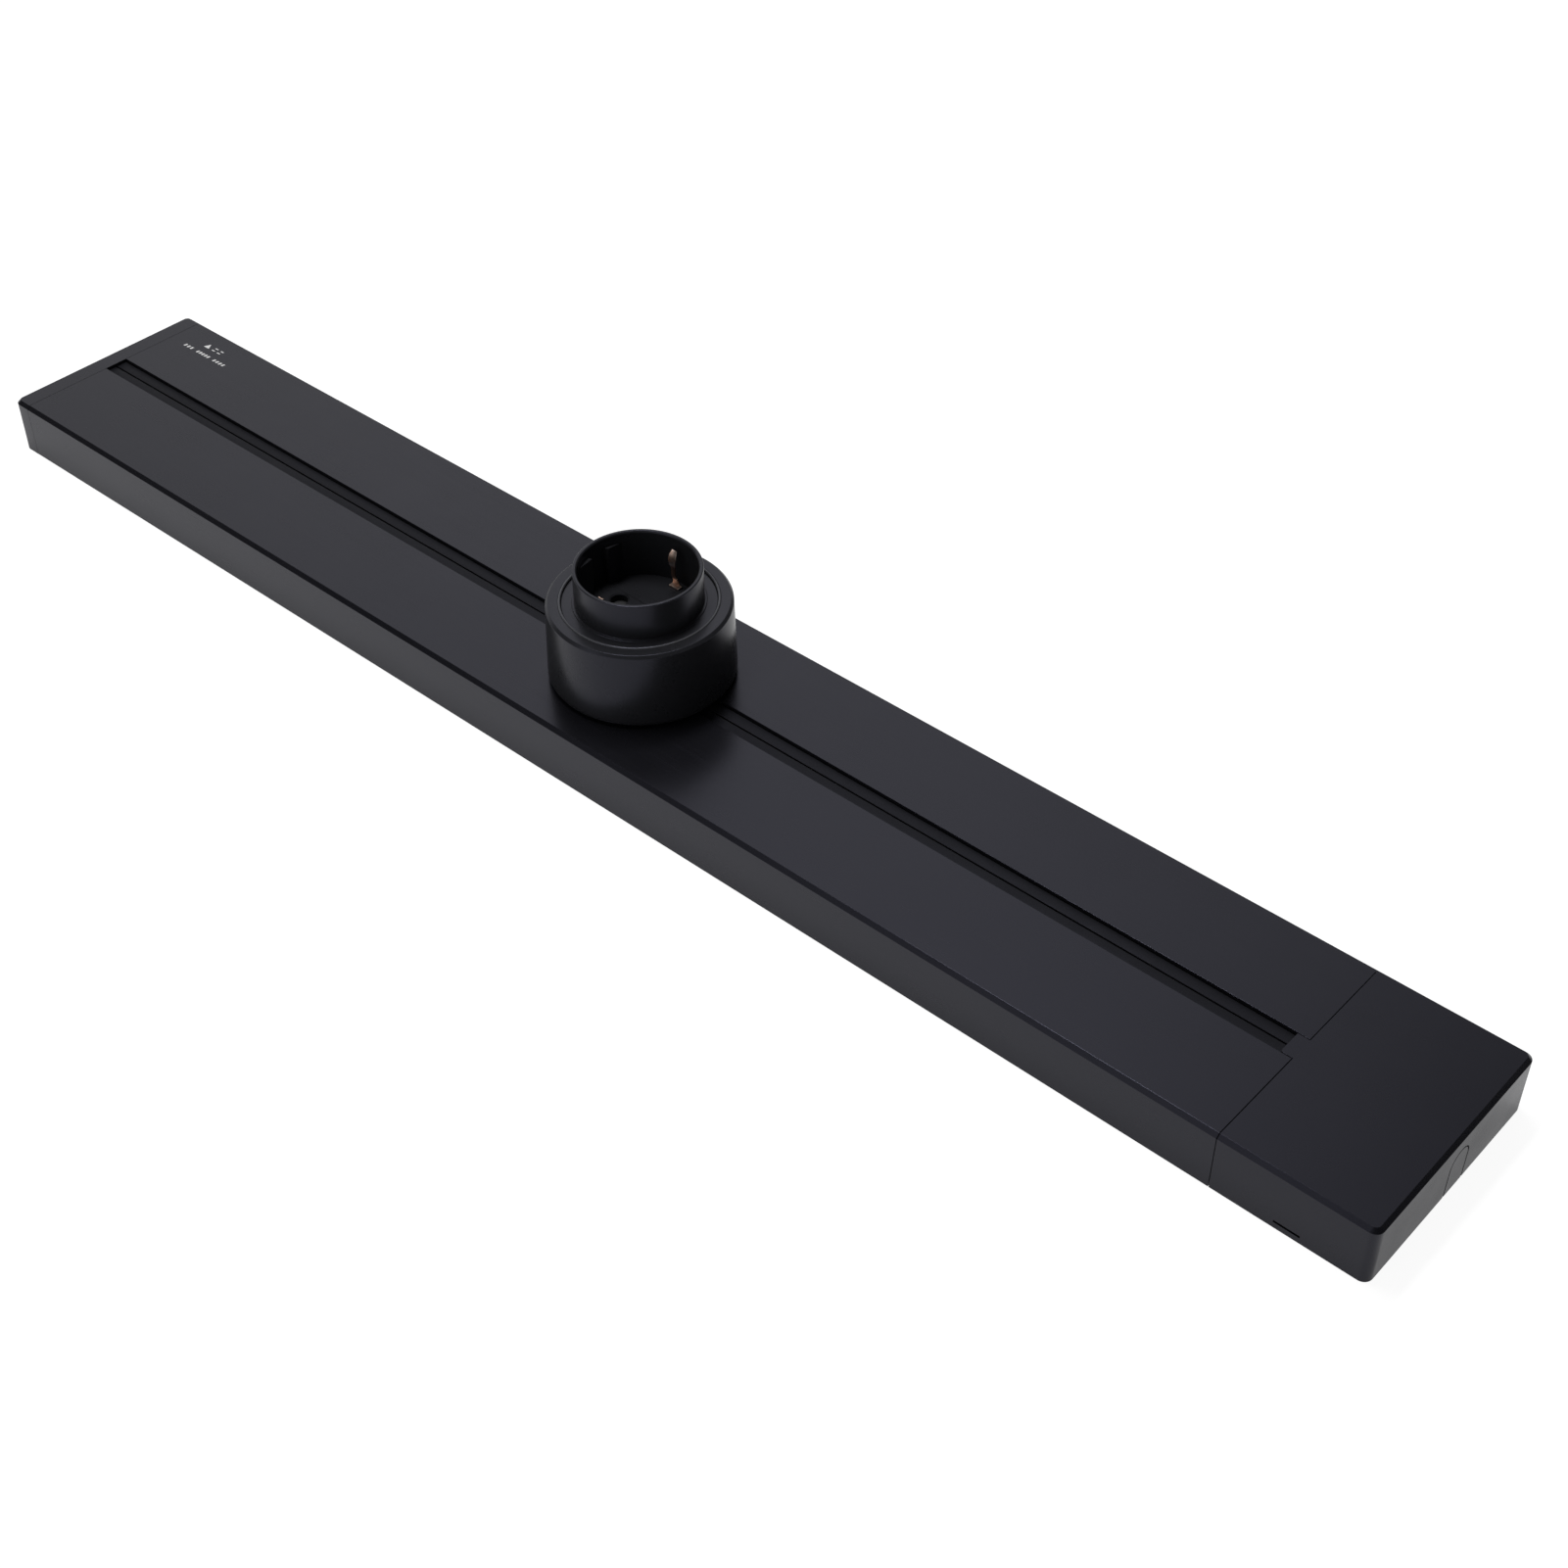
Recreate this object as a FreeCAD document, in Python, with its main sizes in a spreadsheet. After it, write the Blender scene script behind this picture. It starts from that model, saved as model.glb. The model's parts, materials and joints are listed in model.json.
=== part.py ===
"""Power track socket: a surface track with a top slot and a round socket that twists into it.

X runs along the track, towards the terminal cover. Y runs across it, Z is up.
The origin lies in the middle of the track's underside. All sizes are millimetres.
"""
import FreeCAD, Part
import os
import re
import Sketcher

doc = FreeCAD.newDocument("power_track_socket")
sheet = doc.addObject("Spreadsheet::Sheet", "Sizes")

# Driving dimensions, each with the word that the rest of the file uses for it
SIZES = {
    # Track profile
    "track_length": 600,
    "track_width": 83,
    "track_height": 21.4,
    "side_wall": 1.6,
    "floor_wall": 1.6,
    "top_wall": 2,
    "edge_chamfer": 1.3,
    "slot_width": 9.4,
    "web_wall": 1.4,
    "mount_inset": 100,
    "mount_hole_radius": 2.25,
    # Screw ports in the side chambers
    "port_half": 2.8,
    "port_bore": 1.45,
    "screw_radius": 1.4,
    "screw_head_radius": 2.6,
    "screw_head_height": 1.5,
    "end_screw_length": 22,
    "drive_depth": 0.8,
    "drive_length": 3.6,
    "drive_width": 0.7,
    # Ends of the track
    "cap_length": 8.4,
    "corner_radius": 3,
    "plug_depth": 10,
    "cover_length": 50,
    "cover_wall": 2,
    "tongue_length": 3.9,
    "tongue_height": 1.1,
    "base_plate": 2,
    "snap_start": 20.6,
    "snap_length": 8.4,
    "snap_low": 2.1,
    "snap_height": 0.8,
    "plug_root": 4,
    "latch_wall": 1.4,
    "latch_rise": 4,
    "latch_gap": 0.8,
    "arch_offset": 2.6,
    "arch_radius": 4.85,
    "arch_top": 15.6,
    "groove_width": 0.5,
    "groove_depth": 0.4,
    # Seal lips
    "lip_drop": 1.3,
    "lip_thickness": 1,
    "lip_gap": 0.5,
    "lip_root": 8.5,
    "hook_wall": 1,
    "hook_reach": 2.3,
    # Conductors of the track
    "bar_thickness": 1.5,
    "bar_height": 6,
    "bar_middle": 10.5,
    "bar_seat": 2.2,
    "carrier_height": 17,
    "earth_width": 3.4,
    "earth_thickness": 1.2,
    "earth_carrier_width": 4.6,
    "earth_top": 4,
    "bar_inset": 3,
    "bar_reach": 20,
    "carrier_lead": 1,
    # Terminal block under the cover
    "terminal_start": 12,
    "terminal_length": 18,
    "terminal_width": 40,
    "terminal_top": 17,
    "clamp_width": 6.4,
    "clamp_length": 14,
    "clamp_wall": 1.6,
    "clamp_part": 1.15,
    "cell_wall": 2,
    "clamp_screw_inset": 4,
    "earth_clamp_lift": 0.6,
    "wire_stop": 3,
    "wire_radius": 1.8,
    "access_radius": 2.6,
    "terminal_screw_head": 2.3,
    "cord_clamp_place": 38,
    "cord_clamp_depth": 6,
    "cord_clamp_width": 26,
    "cord_clamp_height": 3,
    "cord_clamp_level": 8,
    "cord_screw_spacing": 19,
    "pillar_radius": 2.7,
    # Socket head
    "socket_place": -4.2,
    "body_height": 28.9,
    "body_flare": 0.7,
    "foot_tuck": 2,
    "body_foot_height": 1.8,
    "foot_round": 0.3,
    "body_chamfer": 0.9,
    "shell_wall": 2.4,
    "ring_width": 4.8,
    "ring_recess": 0.6,
    "disc_thickness": 2.4,
    "rim_thickness": 1.3,
    "disc_step": 4.7,
    "collar_height": 12.6,
    "collar_wall": 1.5,
    "cup_radius": 19.6,
    "cup_depth": 17.5,
    "cup_floor": 2.5,
    "lead_in": 0.6,
    "pin_pitch": 19,
    "pin_hole_radius": 2.9,
    "guide_inset": 2.55,
    "guide_notch": 7.3,
    "guide_height": 14.6,
    # Glide plate, contact head and its screws
    "glide_thickness": 2,
    "key_length": 48,
    "head_opening": 25.6,
    "flange_thickness": 2.2,
    "stem_radius": 4.2,
    "head_length": 24,
    "head_clear": 1.3,
    "head_low": 7.5,
    "head_height": 6,
    "boss_radius": 2.7,
    "assembly_screw_length": 12,
    "assembly_head_height": 1.2,
    "ball_radius": 1.5,
    "detent_groove": 0.9,
    "detent_tube": 6,
    "detent_wall": 1,
    # Contacts
    "strip": 0.8,
    "strip_offset": 1.8,
    "conductor_width": 4,
    "blade_height": 3,
    "blade_reach": 0.8,
    "earth_blade_width": 2.6,
    "clip_inset": 2.8,
    "contact_radius": 3.8,
    "contact_bore": 2.4,
    "contact_slit": 0.8,
    "slit_start": 3,
    "foot_reach": 2.5,
    "bracket_width": 4.4,
    "bracket_neck": 2.8,
    "shoulder_length": 8,
    "bracket_rise": 15.4,
    "bracket_foot": 1.5,
    "clip_bend": 6,
    "clip_lean": 2,
    # Safety shutter
    "shutter_thickness": 1.6,
    "shutter_inset": 2.3,
    "shutter_turn": 40,
    "shutter_hole": 3,
    "pivot_radius": 2.4,
    "pivot_seat": 0.8,
    "peg_inset": 2,
    "peg_radius": 1,
    "peg_depth": 2.4,
    "spring_radius": 0.8,
    "spring_wire": 0.3,
    "spring_length": 6.6,
    "spring_turns": 7,
    # Clearances
    "fit_gap": 0.1,
    "ease": 0.2,
    "run_gap": 0.3,
}

# Places that follow from the driving dimensions
PLACES = {
    "track_left": "=-track_length / 2",
    "track_right": "=track_length / 2",
    "cap_seam": "=track_left + cap_length",
    "cover_seam": "=track_right - cover_length",
    "side": "=track_width / 2",
    "under_top": "=track_height - top_wall",
    "bar_face": "=head_length / 2 + head_clear",
    "bar_back": "=bar_face + bar_thickness",
    "channel": "=bar_back + bar_seat",
    "earth_offset": "=bar_face + bar_thickness / 2 - clamp_width - clamp_part",
    "chamber_in": "=channel + web_wall",
    "chamber_out": "=side - side_wall",
    "port_side": "=chamber_out - port_half",
    "port_level": "=track_height / 2",
    "lip_top": "=track_height - lip_drop",
    "lip_low": "=under_top - ease - lip_thickness",
    "hook_top": "=lip_low - ease",
    "hook_low": "=hook_top - hook_wall",
    "hook_side": "=lip_root + ease",
    "lip_end": "=cover_seam - tongue_length - fit_gap",
    "bar_low": "=bar_middle - bar_height / 2",
    "bar_high": "=bar_middle + bar_height / 2",
    "bar_start": "=cap_seam + bar_inset",
    "bar_end": "=cover_seam + bar_reach",
    "terminal_left": "=cover_seam + terminal_start",
    "terminal_right": "=terminal_left + terminal_length",
    "clamp_left": "=terminal_left + cell_wall",
    "clamp_right": "=clamp_left + clamp_length",
    "clamp_screw": "=clamp_right - clamp_screw_inset",
    "mount_spacing": "=track_length - 2 * mount_inset",
    "collar_radius": "=cup_radius + collar_wall",
    "ring_radius": "=collar_radius + disc_step",
    "body_top_radius": "=ring_radius + ring_width",
    "body_low_radius": "=body_top_radius + body_flare",
    "body_foot_radius": "=body_low_radius - foot_tuck",
    "shell_bore": "=body_top_radius - shell_wall",
    "glide_radius": "=shell_bore - run_gap - fit_gap",
    "flange_radius": "=shell_bore - run_gap",
    "boss_circle": "=collar_radius + boss_radius - ease",
    "block_radius": "=cup_radius - clip_inset",
    "detent_circle": "=block_radius + ball_radius + fit_gap + detent_wall + 2 * run_gap",
    "shutter_radius": "=block_radius - shutter_inset",
    "peg_circle": "=shutter_radius - peg_inset",
    "spring_start": "=peg_radius + spring_wire + fit_gap",
    "spring_end": "=spring_start + spring_length",
    "socket_low": "=track_height + run_gap",
    "body_top": "=track_height + body_height",
    "disc_top": "=body_top - ring_recess",
    "disc_low": "=disc_top - disc_thickness",
    "rim_low": "=disc_low - rim_thickness",
    "collar_top": "=body_top + collar_height",
    "floor_top": "=collar_top - cup_depth",
    "floor_low": "=floor_top - cup_floor",
    "pin_place": "=pin_pitch / 2",
    "glide_low": "=socket_low",
    "glide_top": "=glide_low + glide_thickness",
    "flange_low": "=glide_top + run_gap",
    "flange_top": "=flange_low + flange_thickness",
    "block_low": "=flange_top + ease",
    "bracket_low": "=block_low + ease",
    "bracket_high": "=bracket_low + strip",
    "foot_low": "=bracket_high + strip",
    "foot_high": "=foot_low + strip",
    "shutter_top": "=floor_low - run_gap",
    "shutter_low": "=shutter_top - shutter_thickness",
    "block_top": "=shutter_low - run_gap",
    "contact_top": "=block_top - run_gap",
    "bracket_in": "=block_radius + ease",
    "bracket_out": "=bracket_in + strip",
    "bracket_top": "=floor_top + bracket_rise",
    "head_high": "=head_low + head_height",
    "ball_level": "=glide_top - detent_groove + ball_radius + fit_gap",
    "tube_top": "=flange_top + detent_tube",
}

SHEET_WORDS = {"cos", "sin"}

# Sign and name of the two sides across the track, and of the two directions along it
ACROSS = (("", "far"), ("-", "near"))
ALONG = (("-", "left"), ("", "right"))

# Where the three assembly screws stand about the socket's axis, in degrees
BOSS_ANGLES = (30, 150, 270)


def fill_sheet():
    """Write every size and place into the sheet under its own alias."""
    for row, (word, value) in enumerate({**SIZES, **PLACES}.items(), start=1):
        sheet.set(f"A{row}", word)
        sheet.set(f"B{row}", str(value))
        sheet.setAlias(f"B{row}", word)
    doc.recompute()


def bound(text):
    """The expression text with each size name turned into a reference to the sheet."""
    def refer(match):
        word = match.group(0)
        return word if word in SHEET_WORDS else "Sizes." + word
    return re.sub(r"[a-z][a-z_]+", refer, text)


def size(word):
    """The present value of one size, for the few shapes that are made in code."""
    return float(sheet.get(word))


def place(item, x="0", y="0", z="0"):
    """Bind the position of an object to the sheet."""
    for axis, text in zip("xyz", (x, y, z)):
        item.setExpression(".Placement.Base." + axis, bound(text))


def block(name, x, y, z):
    """A box given by its low and high place along each axis."""
    item = doc.addObject("Part::Box", name)
    place(item, x[0], y[0], z[0])
    for length, (low, high) in zip(("Length", "Width", "Height"), (x, y, z)):
        item.setExpression(length, bound(f"({high}) - ({low})"))
    return item


def rod(name, radius, start, length, axis="z"):
    """A round bar from a start point along one axis."""
    item = doc.addObject("Part::Cylinder", name)
    turns = {"x": ((0, 1, 0), 90), "y": ((1, 0, 0), -90), "z": ((0, 0, 1), 0)}
    direction, angle = turns[axis]
    item.Placement.Rotation = FreeCAD.Rotation(FreeCAD.Vector(*direction), angle)
    place(item, *start)
    item.setExpression("Radius", bound(radius))
    item.setExpression("Height", bound(length))
    return item


def cone(name, radii, start, length):
    """A round taper along X, for a countersunk head."""
    item = doc.addObject("Part::Cone", name)
    item.Placement.Rotation = FreeCAD.Rotation(FreeCAD.Vector(0, 1, 0), 90)
    place(item, *start)
    item.setExpression("Radius1", bound(radii[0]))
    item.setExpression("Radius2", bound(radii[1]))
    item.setExpression("Height", bound(length))
    return item


def fuse(name, items):
    """One solid made of several that touch."""
    item = doc.addObject("Part::MultiFuse", name)
    item.Shapes = items
    item.Refine = True
    return item


def cut(name, base, tools):
    """The base with every tool taken out of it. A tool that opens a face reaches 1 mm past it."""
    item = doc.addObject("Part::Cut", name)
    item.Base = base
    item.Tool = tools[0] if len(tools) == 1 else fuse(name + "_tools", tools)
    item.Refine = True
    return item


def common(name, base, tool):
    """What two solids have in common."""
    item = doc.addObject("Part::Common", name)
    item.Base = base
    item.Tool = tool
    return item


def group(name, items):
    """Several separate solids that share one node."""
    item = doc.addObject("Part::Compound", name)
    item.Links = items
    return item


def origin_plane(body, role):
    """The body's own origin plane with this role."""
    return next(item for item in body.Origin.OriginFeatures if item.Role == role)


def add_loop(sketch, points):
    """Add a closed outline whose corners are bound to the sheet."""
    first = sketch.GeometryCount
    count = len(points)
    guess = [FreeCAD.Vector(index, (index * index) % 7, 0) for index in range(count)]
    for index in range(count):
        sketch.addGeometry(Part.LineSegment(guess[index], guess[(index + 1) % count]), False)
    for index in range(count):
        after = first + (index + 1) % count
        sketch.addConstraint(Sketcher.Constraint("Coincident", first + index, 2, after, 1))
    for index, corner in enumerate(points):
        for kind, text in zip(("DistanceX", "DistanceY"), corner):
            number = sketch.addConstraint(
                Sketcher.Constraint(kind, -1, 1, first + index, 1, 1.0 + index))
            sketch.setExpression(f"Constraints[{number}]", bound(text))


def add_circle(sketch, x, y, radius):
    """Add a circle whose centre and radius are bound to the sheet."""
    number = sketch.addGeometry(Part.Circle(FreeCAD.Vector(5, 5, 0), FreeCAD.Vector(0, 0, 1), 1), False)
    for kind, text in (("DistanceX", x), ("DistanceY", y)):
        row = sketch.addConstraint(Sketcher.Constraint(kind, -1, 1, number, 3, 5.0))
        sketch.setExpression(f"Constraints[{row}]", bound(text))
    row = sketch.addConstraint(Sketcher.Constraint("Radius", number, 1.0))
    sketch.setExpression(f"Constraints[{row}]", bound(radius))


def body_with_sketch(name, role, loops, circles=()):
    """A body with one sketch on its own origin plane."""
    body = doc.addObject("PartDesign::Body", name)
    sketch = body.newObject("Sketcher::SketchObject", name + "_outline")
    sketch.AttachmentSupport = [(origin_plane(body, role), "")]
    sketch.MapMode = "FlatFace"
    for points in loops:
        add_loop(sketch, points)
    for circle in circles:
        add_circle(sketch, *circle)
    return body, sketch


def padded(name, loops, start, length, circles=()):
    """A section in the YZ plane carried along X."""
    body, sketch = body_with_sketch(name, "YZ_Plane", loops, circles)
    pad = body.newObject("PartDesign::Pad", name + "_pad")
    pad.Profile = sketch
    pad.setExpression("Length", bound(length))
    place(body, start)
    return body


def revolved(name, points, x="socket_place"):
    """A section of radius and height turned about the vertical through X."""
    body, sketch = body_with_sketch(name, "XZ_Plane", [points])
    turn = body.newObject("PartDesign::Revolution", name + "_turn")
    turn.Profile = sketch
    turn.ReferenceAxis = (sketch, ["V_Axis"])
    turn.Angle = 360
    place(body, x)
    return body


def mirrored(points):
    """The same corners on the other side of the middle plane, in reverse order."""
    return [("-(" + y + ")", z) for y, z in reversed(points)]


def at_socket(text):
    """A place along X that is counted from the socket's axis."""
    return "socket_place + (" + text + ")"


def profile_section():
    """Outline of the extrusion: outer skin, slot, lip hooks and contact channel."""
    half = [
        ("side", "0"),
        ("side", "track_height - edge_chamfer"),
        ("side - edge_chamfer", "track_height"),
        ("slot_width / 2", "track_height"),
        ("slot_width / 2", "under_top"),
        ("hook_side", "under_top"),
        ("hook_side", "hook_top"),
        ("hook_side - hook_reach", "hook_top"),
        ("hook_side - hook_reach", "hook_low"),
        ("hook_side + hook_wall", "hook_low"),
        ("hook_side + hook_wall", "under_top"),
        ("channel", "under_top"),
        ("channel", "floor_wall"),
    ]
    return half + mirrored(half)


def chamber_section():
    """Outline of the hollow beside the channel, going round the screw port."""
    return [
        ("chamber_in", "floor_wall"),
        ("chamber_out", "floor_wall"),
        ("chamber_out", "port_level - port_half"),
        ("chamber_out - 2 * port_half", "port_level - port_half"),
        ("chamber_out - 2 * port_half", "port_level + port_half"),
        ("chamber_out", "port_level + port_half"),
        ("chamber_out", "under_top"),
        ("chamber_in", "under_top"),
    ]


def make_track_profile():
    """Aluminium extrusion with two fixing holes in the floor of its channel."""
    ports = [("port_side", "port_level", "port_bore"), ("-port_side", "port_level", "port_bore")]
    loops = [profile_section(), chamber_section(), mirrored(chamber_section())]
    bar = padded("profile_bar", loops, "cap_seam", "cover_seam - cap_seam", ports)
    holes = []
    for sign, name in ALONG:
        start = (sign + "mount_spacing / 2", "0", "-1")
        holes.append(rod("fixing_hole_" + name, "mount_hole_radius", start, "floor_wall + 2"))
    return cut("track_profile", bar, holes)


def edges_of(shape, test):
    """Names of the edges whose box passes a test."""
    return [f"Edge{number}" for number, edge in enumerate(shape.Edges, start=1) if test(edge.BoundBox)]


def rounded_end(name, start, length, at_right):
    """Solid end piece: two rounded upright corners and a chamfer along its three free top edges."""
    section = [("-side", "0"), ("side", "0"), ("side", "track_height"), ("-side", "track_height")]
    body = padded(name, [section], start, length)
    doc.recompute()
    pad = body.Tip
    box = pad.Shape.BoundBox
    end, seam = (box.XMax, box.XMin) if at_right else (box.XMin, box.XMax)
    corners = edges_of(pad.Shape, lambda edge: edge.ZLength > 0.9 * box.ZLength
                       and abs(edge.XMin - end) < 0.01 and abs(edge.XMax - end) < 0.01)
    fillet = body.newObject("PartDesign::Fillet", name + "_corners")
    fillet.Base = (pad, corners)
    fillet.setExpression("Radius", bound("corner_radius"))
    doc.recompute()
    rim = edges_of(fillet.Shape, lambda edge: edge.ZMin > box.ZMax - 0.01
                   and not (abs(edge.XMin - seam) < 0.01 and abs(edge.XMax - seam) < 0.01))
    chamfer = body.newObject("PartDesign::Chamfer", name + "_rim")
    chamfer.Base = (fillet, rim)
    chamfer.setExpression("Size", bound("edge_chamfer"))
    return body


def make_end_cap():
    """Moulded cap with two plugs that enter the side chambers."""
    cap = rounded_end("cap_body", "track_left", "cap_length", False)
    plug_x = ("cap_seam - 1", "cap_seam + plug_depth")
    plug_z = ("floor_wall + ease", "under_top - ease")
    plug_out = "chamber_out - 2 * port_half - ease"
    plugs = [
        block("cap_plug_far", plug_x, ("chamber_in + ease", plug_out), plug_z),
        block("cap_plug_near", plug_x, ("-(" + plug_out + ")", "-(chamber_in + ease)"), plug_z),
    ]
    tools = []
    for sign, name in ACROSS:
        y = sign + "port_side"
        tools.append(rod("cap_bore_" + name, "port_bore", ("track_left - 1", y, "port_level"),
                         "cap_length + 2", "x"))
        tools.append(cone("cap_sink_" + name, ("screw_head_radius + ease", "screw_radius + ease"),
                          ("track_left", y, "port_level"), "screw_head_height"))
    return cut("end_cap", fuse("cap_with_plugs", [cap] + plugs), tools)


def make_end_cap_screws():
    """Two countersunk screws that hold the cap in the screw ports."""
    screws = []
    for sign, name in ACROSS:
        y = sign + "port_side"
        head = cone("cap_screw_head_" + name, ("screw_head_radius", "screw_radius"),
                    ("track_left", y, "port_level"), "screw_head_height")
        shank = rod("cap_screw_shank_" + name, "screw_radius", ("track_left", y, "port_level"),
                    "end_screw_length", "x")
        cross = block("cap_screw_drive_" + name, ("track_left - 1", "track_left + drive_depth"),
                      (y + " - drive_length / 2", y + " + drive_length / 2"),
                      ("port_level - drive_width / 2", "port_level + drive_width / 2"))
        screws.append(cut("cap_screw_" + name, fuse("cap_screw_blank_" + name, [head, shank]), [cross]))
    return group("end_cap_screws", screws)


def arch(name, radius):
    """Upright arch at the outer end of the cover, as deep as the groove."""
    middle = "arch_top - arch_radius"
    start = ("track_right - groove_depth", "arch_offset", middle)
    top = rod(name + "_top", radius, start, "groove_depth + 1", "x")
    legs = block(name + "_legs", ("track_right - groove_depth", "track_right + 1"),
                 ("arch_offset - (" + radius + ")", "arch_offset + (" + radius + ")"), ("-1", middle))
    return fuse(name, [top, legs])


def make_terminal_cover():
    """Cover of the terminals: a hollow end with a tongue, snap slots and a cable knock-out."""
    skin = rounded_end("cover_body", "cover_seam", "cover_length", True)
    tongue = block("cover_tongue", ("cover_seam - tongue_length", "cover_seam + 1"),
                   ("-slot_width / 2 + ease", "slot_width / 2 - ease"),
                   ("track_height - tongue_height", "track_height - fit_gap"))
    hollow = block("cover_hollow", ("cover_seam - 1", "track_right - cover_wall"),
                   ("-side + cover_wall", "side - cover_wall"), ("-1", "under_top"))
    snap_x = ("cover_seam + snap_start", "cover_seam + snap_start + snap_length")
    snap = block("cover_snap_slots", snap_x, ("-side - 1", "side + 1"),
                 ("snap_low", "snap_low + snap_height"))
    groove = cut("arch_groove", arch("arch_outer", "arch_radius + groove_width / 2"),
                 [arch("arch_inner", "arch_radius - groove_width / 2")])
    shell = cut("cover_shell", skin, [hollow, snap, groove])
    return fuse("terminal_cover", [shell, tongue])


def make_terminal_base():
    """Plate that closes the cover from below, with plugs, latches and clamp pillars."""
    inner = "side - cover_wall - ease"
    plate = block("base_plate_body", ("cover_seam + fit_gap", "track_right - cover_wall - ease"),
                  ("-(" + inner + ")", inner), ("0", "base_plate"))
    pieces = [plate]
    plug_out = "chamber_out - 2 * port_half - ease"
    latch_x = ("cover_seam + snap_start + ease", "cover_seam + snap_start + snap_length - ease")
    latch_z = ("snap_low + ease", "snap_low + snap_height - ease")
    for sign, name in ACROSS:
        plug = sorted_pair(sign, "chamber_in + ease", plug_out)
        pieces.append(block("base_plug_" + name, ("cover_seam - plug_depth", "cover_seam + plug_root"),
                            plug, ("floor_wall + ease", "floor_wall + ease + base_plate")))
        post = sorted_pair(sign, inner + " - latch_wall", inner)
        pieces.append(block("latch_post_" + name, latch_x, post,
                            ("base_plate - 0.5", "snap_low + latch_rise")))
        nib = sorted_pair(sign, inner + " - latch_wall", "side - latch_gap")
        pieces.append(block("latch_nib_" + name, latch_x, nib, latch_z))
        pillar = (cord_clamp_middle(), sign + "cord_screw_spacing / 2", "base_plate - 0.5")
        pieces.append(rod("pillar_" + name, "pillar_radius", pillar,
                          "cord_clamp_level - base_plate + 0.5 - fit_gap"))
    solid = fuse("base_solid", pieces)
    bores = []
    for sign, name in ACROSS:
        start = (cord_clamp_middle(), sign + "cord_screw_spacing / 2", "1")
        bores.append(rod("pillar_bore_" + name, "port_bore", start, "cord_clamp_level"))
    return cut("terminal_base", solid, bores)


def sorted_pair(sign, low, high):
    """A low and high place across the track, on the far side or mirrored to the near side."""
    return (low, high) if sign == "" else ("-(" + high + ")", "-(" + low + ")")


def cord_clamp_middle():
    """Where the cord clamp sits along X."""
    return "cover_seam + cord_clamp_place"


def make_cord_clamp():
    """Bar that presses the supply cable onto the base."""
    middle = cord_clamp_middle()
    bar = block("cord_clamp_bar",
                (middle + " - cord_clamp_depth / 2", middle + " + cord_clamp_depth / 2"),
                ("-cord_clamp_width / 2", "cord_clamp_width / 2"),
                ("cord_clamp_level", "cord_clamp_level + cord_clamp_height"))
    holes = []
    for sign, name in ACROSS:
        start = (middle, sign + "cord_screw_spacing / 2", "cord_clamp_level - 1")
        holes.append(rod("cord_clamp_hole_" + name, "port_bore + fit_gap", start, "cord_clamp_height + 2"))
    return cut("cord_clamp", bar, holes)


def make_cord_clamp_screws():
    """Two pan-head screws through the cord clamp into its pillars."""
    screws = []
    head_low = "cord_clamp_level + cord_clamp_height"
    for sign, name in ACROSS:
        y = sign + "cord_screw_spacing / 2"
        shank = rod("cord_shank_" + name, "screw_radius", (cord_clamp_middle(), y, "base_plate + 1"),
                    head_low + " - base_plate - 1")
        head = rod("cord_head_" + name, "screw_head_radius", (cord_clamp_middle(), y, head_low),
                   "screw_head_height")
        screws.append(fuse("cord_screw_" + name, [shank, head]))
    return group("cord_clamp_screws", screws)


# Middle of each pole across the track, and the levels between which its clamp lies
POLES = {
    "live": ("-(bar_face + bar_thickness / 2)", "bar_low - clamp_wall", "bar_high + clamp_wall"),
    "neutral": ("bar_face + bar_thickness / 2", "bar_low - clamp_wall", "bar_high + clamp_wall"),
    "earth": ("earth_offset", "base_plate + earth_clamp_lift", "bar_high + clamp_wall"),
}

# Width and levels of each busbar
BARS = {
    "live": ("bar_thickness", "bar_low", "bar_high"),
    "neutral": ("bar_thickness", "bar_low", "bar_high"),
    "earth": ("earth_width", "earth_top - earth_thickness", "earth_top"),
}


def bar_block(name, pole, grow, x):
    """The space of one busbar, larger by grow on each side, between two places along X."""
    middle = POLES[pole][0]
    width, low, high = BARS[pole]
    half = width + " / 2 + " + grow
    return block(name, x, ("(" + middle + ") - (" + half + ")", "(" + middle + ") + " + half),
                 (low + " - " + grow, high + " + " + grow))


def make_busbar(pole):
    """Copper strip that runs the whole track and ends in its clamp."""
    return bar_block(pole + "_busbar", pole, "0", ("bar_start", "bar_end"))


def make_side_carrier(pole):
    """Insulating strip on the channel wall with a groove for its busbar."""
    sign = "-" if pole == "live" else ""
    body = block(pole + "_carrier_body", ("bar_start - carrier_lead", "cover_seam - fit_gap"),
                 sorted_pair(sign, "bar_face", "channel - fit_gap"),
                 ("floor_wall + fit_gap", "floor_wall + fit_gap + carrier_height"))
    groove = bar_block(pole + "_groove", pole, "fit_gap", ("bar_start - carrier_lead - 1", "cover_seam + 1"))
    return cut(pole + "_carrier", body, [groove])


def make_earth_carrier():
    """Insulating strip on the channel floor that holds the earth busbar."""
    body = block("earth_carrier_body", ("bar_start - carrier_lead", "cover_seam - fit_gap"),
                 ("earth_offset - earth_carrier_width / 2", "earth_offset + earth_carrier_width / 2"),
                 ("floor_wall", "earth_top"))
    groove = bar_block("earth_groove", "earth", "fit_gap", ("bar_start - carrier_lead - 1", "cover_seam + 1"))
    return cut("earth_carrier", body, [groove])


def clamp_space(name, pole, grow, x):
    """The box of one terminal clamp, larger by grow across X."""
    middle, low, high = POLES[pole]
    half = "clamp_width / 2 + " + grow
    return block(name, x, ("(" + middle + ") - (" + half + ")", "(" + middle + ") + " + half),
                 (low + " - " + grow, high + " + " + grow))


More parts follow.
